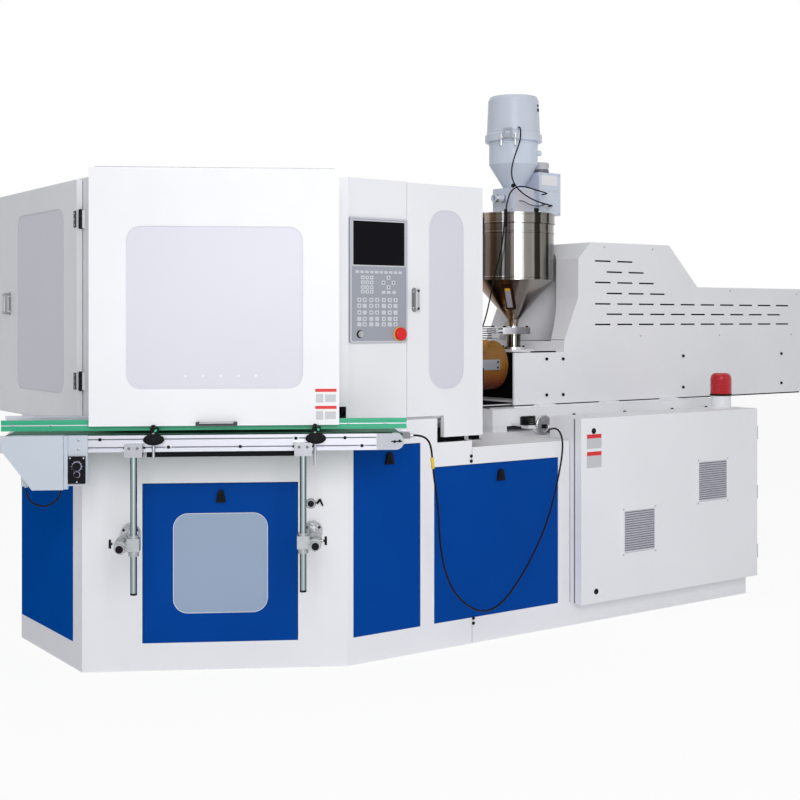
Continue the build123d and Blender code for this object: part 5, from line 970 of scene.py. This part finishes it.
finish("coupling_glass", Shape().prism(around(33.4, range(0, 181, 12), *SOCKET), 658, 660.5), MACHINE,
       ("bright_steel", rim_light))
finish("coupling_plug", Shape().prism(around(33.4, range(180, 361, 12), *SOCKET), 658, 661)
       .plate(1537, 1573, 975, 996, 660.5, 668, 4, 1.5), MACHINE, OXIDE)
elbow = Shape().bar((1618, 968, 640), (1618, 968, 676), 19, 24, 3).bar((1600, 990, 650), (1618, 968, 650), 15, 20, 3)
finish("cable_plug_body", elbow, MACHINE, OXIDE)

# Hopper
ON_HOPPER = Matrix.Translation((HOPPER_X, 0, 0))
HOPPER = (face_matrix((HOPPER_X, 0, 0), (1, 0, 0), (0, 1, 0)), "carriage")
repeated("ring_screws", cap_head(6, 5), around(231, range(0, 360, 30)), 2169, HOPPER, SCREW)
beads = Shape()
for radius, low, high in ((238.2, 2050, 2062), (238.2, 1793, 1801), (243.2, 2107, 2115), (243.2, 2157, 2168)):
    beads.turned(0, 0, [(radius, low), (radius + 2.4, low + 2), (radius + 2.4, high - 3), (radius, high)], 96,
                 close=False)
finish("hopper_beads", beads.moved(ON_HOPPER), CARRIAGE_TOP, "stainless")
finish("hopper_seam", Shape().bar((238.5, 0, 1804), (238.5, 0, 2046), 1.2, 8)
       .moved(ON_HOPPER @ Matrix.Rotation(math.radians(-70), 4, "Z")), CARRIAGE_TOP, "stainless")

# Sight glass on the cone: turned to its side, out to the wall, tilted with it and stood up
CONE = math.atan2(238 - 34, 1782 - 1552)
ON_CONE = (ON_HOPPER @ Matrix.Rotation(math.radians(-140), 4, "Z") @ Matrix.Translation((148.4, 0, 1681))
           @ Matrix.Rotation(CONE, 4, "Y") @ Matrix(((0, 0, 1, 0), (1, 0, 0, 0), (0, 1, 0, 0), (0, 0, 0, 1))))
sight = Shape().rim(rounded(-22, 34, -86, 84, 10), rounded(-17, 18, -74, 76, 8), -6, 10)
finish("sight_frame", sight.plate(-36, 30, 80, 88, -4, 12, 3, 1).moved(ON_CONE), CARRIAGE_TOP, (BLACK, bronze), 0.8)
finish("sight_glass", Shape().plate(-18, 19, -75, 77, -4, 5, 7).moved(ON_CONE), CARRIAGE_TOP,
       ("frosted_sheet", sight_grey))
finish("sight_tab", Shape().plate(-15, 16, 52, 76, 4, 7, 3, 1.0).moved(ON_CONE), CARRIAGE_TOP,
       ("amber_paint", signal_yellow))

neck = Shape().turned(0, 0, [(42.2, 1392), (44.5, 1393), (44.5, 1400), (42.6, 1402), (42.6, 1458), (44.5, 1460),
                             (44.5, 1467), (42.2, 1468)], 56, close=False)
finish("neck_sleeve", neck.moved(ON_HOPPER), CARRIAGE_TOP, ("bright_steel", neck_steel_painted_reflections))
repeated("neck_screws", cap_head(7, 8), around(60, range(45, 360, 90)), 1392, HOPPER, OXIDE)
repeated("gate_screws", cap_head(8, 9), [(dx, dy) for dx in (-110, 62) for dy in (-51, 51)], 1507, HOPPER, OXIDE)
plates("gate_pull", (face_matrix((HOPPER_X, 0, 0), (0, -1, 0), (0, 0, 1)), "slide_gate"), CHROME,
       (-45, 45, 1471, 1504, 159, 166, 5, 2))
finish("hopper_clip", Shape().plate(-9, 9, 2092, 2182, 239, 250, 4, 2).disc(0, 2092, 239, 248, 10, 24, 1),
       (face_matrix((HOPPER_X, 0, 0), (0.6391, -0.7693, 0), (0, 0, 1)), "carriage"), BLACK)

# Loader
LID_OUT = 92
LATCH = (face_matrix((LOADER_X, 0, 0), (0.6428, -0.7660, 0), (0, 0, 1)), "carriage")
LOADER = (face_matrix((LOADER_X, 0, 0), (1, 0, 0), (0, 1, 0)), "carriage")
posts = Shape()
for a in (-41, 41):
    posts.bar((a, 2556, 178), (a, 2626, 178), 5.5, 16, 1.5).plate(a - 8, a + 8, 2590, 2602, 168, 186, 3, 1)
finish("latch_posts", posts, LATCH, CHROME)
finish("latch_wire", Shape().bar((-38, 2608, 180), (38, 2608, 180), 3.4, 12), LATCH, OXIDE)
beads = Shape()
for profile in ([(163.2, 2611), (166, 2612), (166, 2616), (163.2, 2618)], [(155.6, 2647), (157.8, 2650), (155.4, 2655)],
                [(143.2, 2575), (146, 2578), (146, 2586), (143.2, 2590)]):
    beads.turned(0, 0, profile, 72, close=False)
finish("loader_beads", beads, LOADER, "loader_paint")
repeated("loader_cap_screws", pan_head(5, 3), [(LOADER_X + dx, z) for dx in (-86, 76) for z in (2195, 2302)], 86,
         CARRIAGE, SCREW)
plates("cap_sockets", (face_matrix((LOADER_X, 0, 0), (OUT, 0.5, 0), (0, 0, 1)), "carriage"), BLACK,
       (-9, 9, 2768, 2784, 139.5, 156, 4, 1), (-7, 7, 2796, 2808, 139.5, 154, 4, 1))
finish("receiver_port", Shape().disc(0, 2530, 140, 163, 15, 32, 3).disc(0, 2530, 163, 165, 9, 24, 0.5),
       (face_matrix((LOADER_X, 0, 0), (0.645, 0.764, 0), (0, 0, 1)), "carriage"), "loader_paint")
plates("receiver_window", CARRIAGE, "frosted_sheet", (1832, 1978, 2192, 2306, 86, 88, 6, 0.8))
finish("receiver_window_frame", Shape().frame(1824, 1986, 2184, 2314, 10, 86, 90, 8, 5), CARRIAGE, "loader_paint", 0.6)
plates("control_lid", CARRIAGE, "loader_paint", (2030, 2192, 2175, 2417, 89, LID_OUT, 8, 1))
plates("control_blank", CARRIAGE, ("white_paint", label_white), (2043, 2165, 2346, 2404, LID_OUT, 93, 3))
lamps = Shape().disc(2106, 2316, LID_OUT, 95, 6, 24, 1)
finish("control_lamps", lamps.disc(2140, 2316, LID_OUT, 94, 9, 24, 1).disc(2164, 2316, LID_OUT, 94, 9, 24, 1), CARRIAGE,
       ("loader_paint", key_white))
finish("control_gland", Shape().turned(2092, 2221, [(12, LID_OUT), (19, LID_OUT), (19, 94), (15, 98), (12, 98)], 32),
       CARRIAGE, ("loader_paint", key_white))
repeated("control_screws", pan_head(5, 2.5), [(x, z) for x in (2038, 2184) for z in (2183, 2409)], LID_OUT, CARRIAGE,
         SCREW)
# Painted shade on the control box's side face, and in its vent slots
plates("control_side", CARRIAGE_END, ("loader_paint", key_dark), (-84, 37, 2177, 2415, 2196.1, 2197.4, 6))
plates("control_vents", CARRIAGE_END, PAINTED_SHADE, *[(-66, 28, z, z + 9, 2197, 2199, 2) for z in range(2200, 2377, 22)])
finish("filter_seat", Shape().turned(188, -31, [(43, 2421), (46, 2424), (46, 2440), (43.2, 2443)], 48), LOADER, SHADE)
finish("filter_bowl", Shape().turned(188, -31, [(43.2, 2443.4), (45, 2444), (45, 2460), (47.5, 2462), (47.5, 2478),
                                                (43, 2483), (20, 2487)], 48), LOADER, ("bright_steel", label_grey))
finish("filter_foot", Shape().disc(188, -31, 2420.5, 2426, 50, 40, 1), LOADER, BLACK)
hose = Shape().turned(0, 0, [(19.3, 1733), (25, 1735), (25, 1750), (19.3, 1752)], 32, close=False)
hose.turned(0, 0, [(19.3, 1792), (24, 1794), (24, 1806), (19.3, 1808)], 32, close=False)
finish("suction_clamps", hose.moved(Matrix.Translation((-30, 2256, 0))), CARRIAGE_END, CHROME)
plates("valve_block", CARRIAGE, BLACK, (1993, 2023, 2180, 2208, 60, 92, 5, 2))
tie = Shape().turned(0, 0, [(9.2, -6), (11, -5), (11, 5), (9.2, 6)], 20)
finish("cable_tie", tie.moved(Matrix.Translation((1757, -171, 2318)) @ Matrix.Rotation(math.radians(70), 4, "X")),
       CARRIAGE_TOP, SEAL)

# Cabinet: locks, bare stickers, and grilles by their four sides
GRILLES = ((1741, 1989, 332, 579), (2303, 2554, 552, 797))
GRILLE_OUT = 1061
finish("cabinet_seal", Shape().frame(1457, 2799, 116, 1051, 15, 1035.2, 1037.2, 4, 3), CABINET, SEAL)
locks = Shape()
for x, z, out in ((1538, 988, 1059), (1553, 174, 1061)):
    locks.turned(x, z, [(9.4, out), (15, out), (15, out + 1.5), (12.5, out + 3.5), (9.4, out + 3.5)], 32)
finish("lock_rings", locks, CABINET, OXIDE)
finish("lower_lock_face", Shape().disc(1553, 174, 1061, 1062.5, 9.2, 32, 0.4)
       .plate(1551.5, 1554.5, 167, 181, 1062, 1063.2), CABINET, OXIDE)
finish("upper_lock_face", Shape().disc(1538, 988, 1061, 1062, 9, 32, 0.3)
       .plate(1536.5, 1539.5, 981, 995, 1061.5, 1062.6), (SIDE, "upper_lock"), OXIDE)
plates("cabinet_blanks", CABINET, ("white_paint", label_grey), (1494, 1596, 899, 972, 1055, 1055.5, 3),
       (1494, 1596, 802, 884, 1055, 1055.5, 3))
plates("cabinet_blank_bands", CABINET, ("red_button", label_red), (1495, 1595, 951, 971, 1055.4, 1055.8, 1),
       (1495, 1595, 863, 883, 1055.4, 1055.8, 1))
plates("cabinet_side_line", (LEFT, "machine"), SHADE, (1002, 1011, 118, 1049, -1455, -1454.3))
repeated("grille_screws", pan_head(4.5, 2), [(x, z) for a0, a1, b0, b1 in GRILLES for x in (a0 + 7, a1 - 7)
                                             for z in (b0 + 7, b1 - 7)], GRILLE_OUT, CABINET, SCREW)
plates("grille_filters", CABINET, SHADE,
       *[(a0 + 4, a1 - 4, b0 + 4, b1 - 4, 1043, 1046, 2) for a0, a1, b0, b1 in GRILLES])
# Painted shade in the gaps between the grille slats
gap_shade = Shape()
for a0, a1, b0, b1 in GRILLES:
    for index in range(1, 18):
        z = b0 + 14 + (b1 - b0 - 28) / 18 * index
        gap_shade.plate(a0 + 14.5, a1 - 14.5, z - 3.1, z + 3.1, GRILLE_OUT - 2.6, GRILLE_OUT - 0.8)
finish("grille_gaps", gap_shade, CABINET, (BLACK, slat_shade))
pins = Shape()
for z in (250, 583, 916):
    pins.turned(2809, -1046, [(4, z - 39), (6.6, z - 37), (6.6, z + 37), (4, z + 39)], 20)
finish("cabinet_hinge_pins", pins, (TOP, "machine"), ZINC)

# Warning light
BEACON = (face_matrix((2690, -890, 1053), (1, 0, 0), (0, 1, 0)), "machine")
profile = [(58.1, 78)]
for index in range(9):
    low = 80 + index * 9.6
    profile += [(58.1, low), (61.2, low + 4.8), (58.1, low + 9.4)]
finish("lens_ribs", Shape().turned(0, 0, profile, 72, close=False), BEACON, "red_lens")
finish("lens_collar", Shape().turned(0, 0, [(60.2, 68), (62, 69.5), (62, 77), (59, 79)], 64), BEACON, BLACK)
finish("beacon_rim", Shape().turned(0, 0, [(66, 0.2), (66, 4), (57.5, 7), (56.2, 7)], 64), BEACON, "white_paint")
repeated("beacon_screws", pan_head(4, 2.5), around(61.5, (30, 150, 270)), 4, BEACON, SCREW)

# Tag on the long cable, along the cable's run there
along = Vector((414 - 382, -1214 + 1238, 836 - 968)).normalized().to_track_quat("Z", "Y").to_matrix().to_4x4()
tag = Shape().turned(0, 0, [(6.2, -27), (7.6, -25), (7.6, 25), (6.2, 27)], 20)
finish("cable_tag", tag.moved(Matrix.Translation((391, -1231.6, 915)) @ along), (TOP, "conveyor"),
       ("amber_paint", tag_yellow))


# Floor and light
def stage():
    """White floor that keeps the shadow, a white background, an even sky and three broad soft lamps."""
    mesh = bpy.data.meshes.new("floor")
    reach = 60.0
    mesh.from_pydata([(-reach, -reach, 0), (reach, -reach, 0), (reach, reach, 0), (-reach, reach, 0)], [],
                     [(0, 1, 2, 3)])
    floor = add("floor", mesh)
    paint = bpy.data.materials.new("floor_white")
    paint.use_nodes = True
    tree = Tree(paint.node_tree)
    tree.tree.nodes.remove(tree.tree.nodes["Principled BSDF"])
    tree.show(tree.made("BsdfDiffuse", "BSDF", {"Color": (0.95, 0.95, 0.95, 1)}),
              tree.made("Emission", "Emission", {"Color": (1, 1, 1, 1), "Strength": 1.0}),
              tree.maths("MULTIPLY", tree.seen_rays(), 0.92), "Material Output")
    mesh.materials.append(paint)
    floor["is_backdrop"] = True
    world = bpy.data.worlds.new("studio")
    bpy.context.scene.world = world
    world.use_nodes = True
    tree = Tree(world.node_tree)
    sky = world.node_tree.nodes["Background"]
    sky.inputs["Color"].default_value = (0.95, 0.97, 1.0, 1)
    sky.inputs["Strength"].default_value = 0.36
    seen = tree.made("Background", "Background", {"Color": (1, 1, 1, 1), "Strength": 1.0})
    tree.show(sky.outputs["Background"], seen, tree.seen_rays(), "World Output")
    for name, place, power, size in (("key", (-3.2, -7.2, 3.2), 283.0, 4.0), ("fill", (5.5, -6.5, 3.0), 30.0, 4.0),
                                     ("top", (0.5, -0.5, 7.0), 60.0, 5.0)):
        data = bpy.data.lights.new(name, "AREA")
        data.energy = power
        data.size = size
        lamp = add(name, data)
        lamp.location = place
        lamp.rotation_euler = (Vector((0.8, 0, 1.2)) - Vector(place)).to_track_quat("-Z", "Y").to_euler()


stage()
bpy.context.scene.view_settings.view_transform = "Standard"

low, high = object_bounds()
sizes = {"cad": [list(cad_low), list(cad_high)], "visual": [list(low), list(high)]}
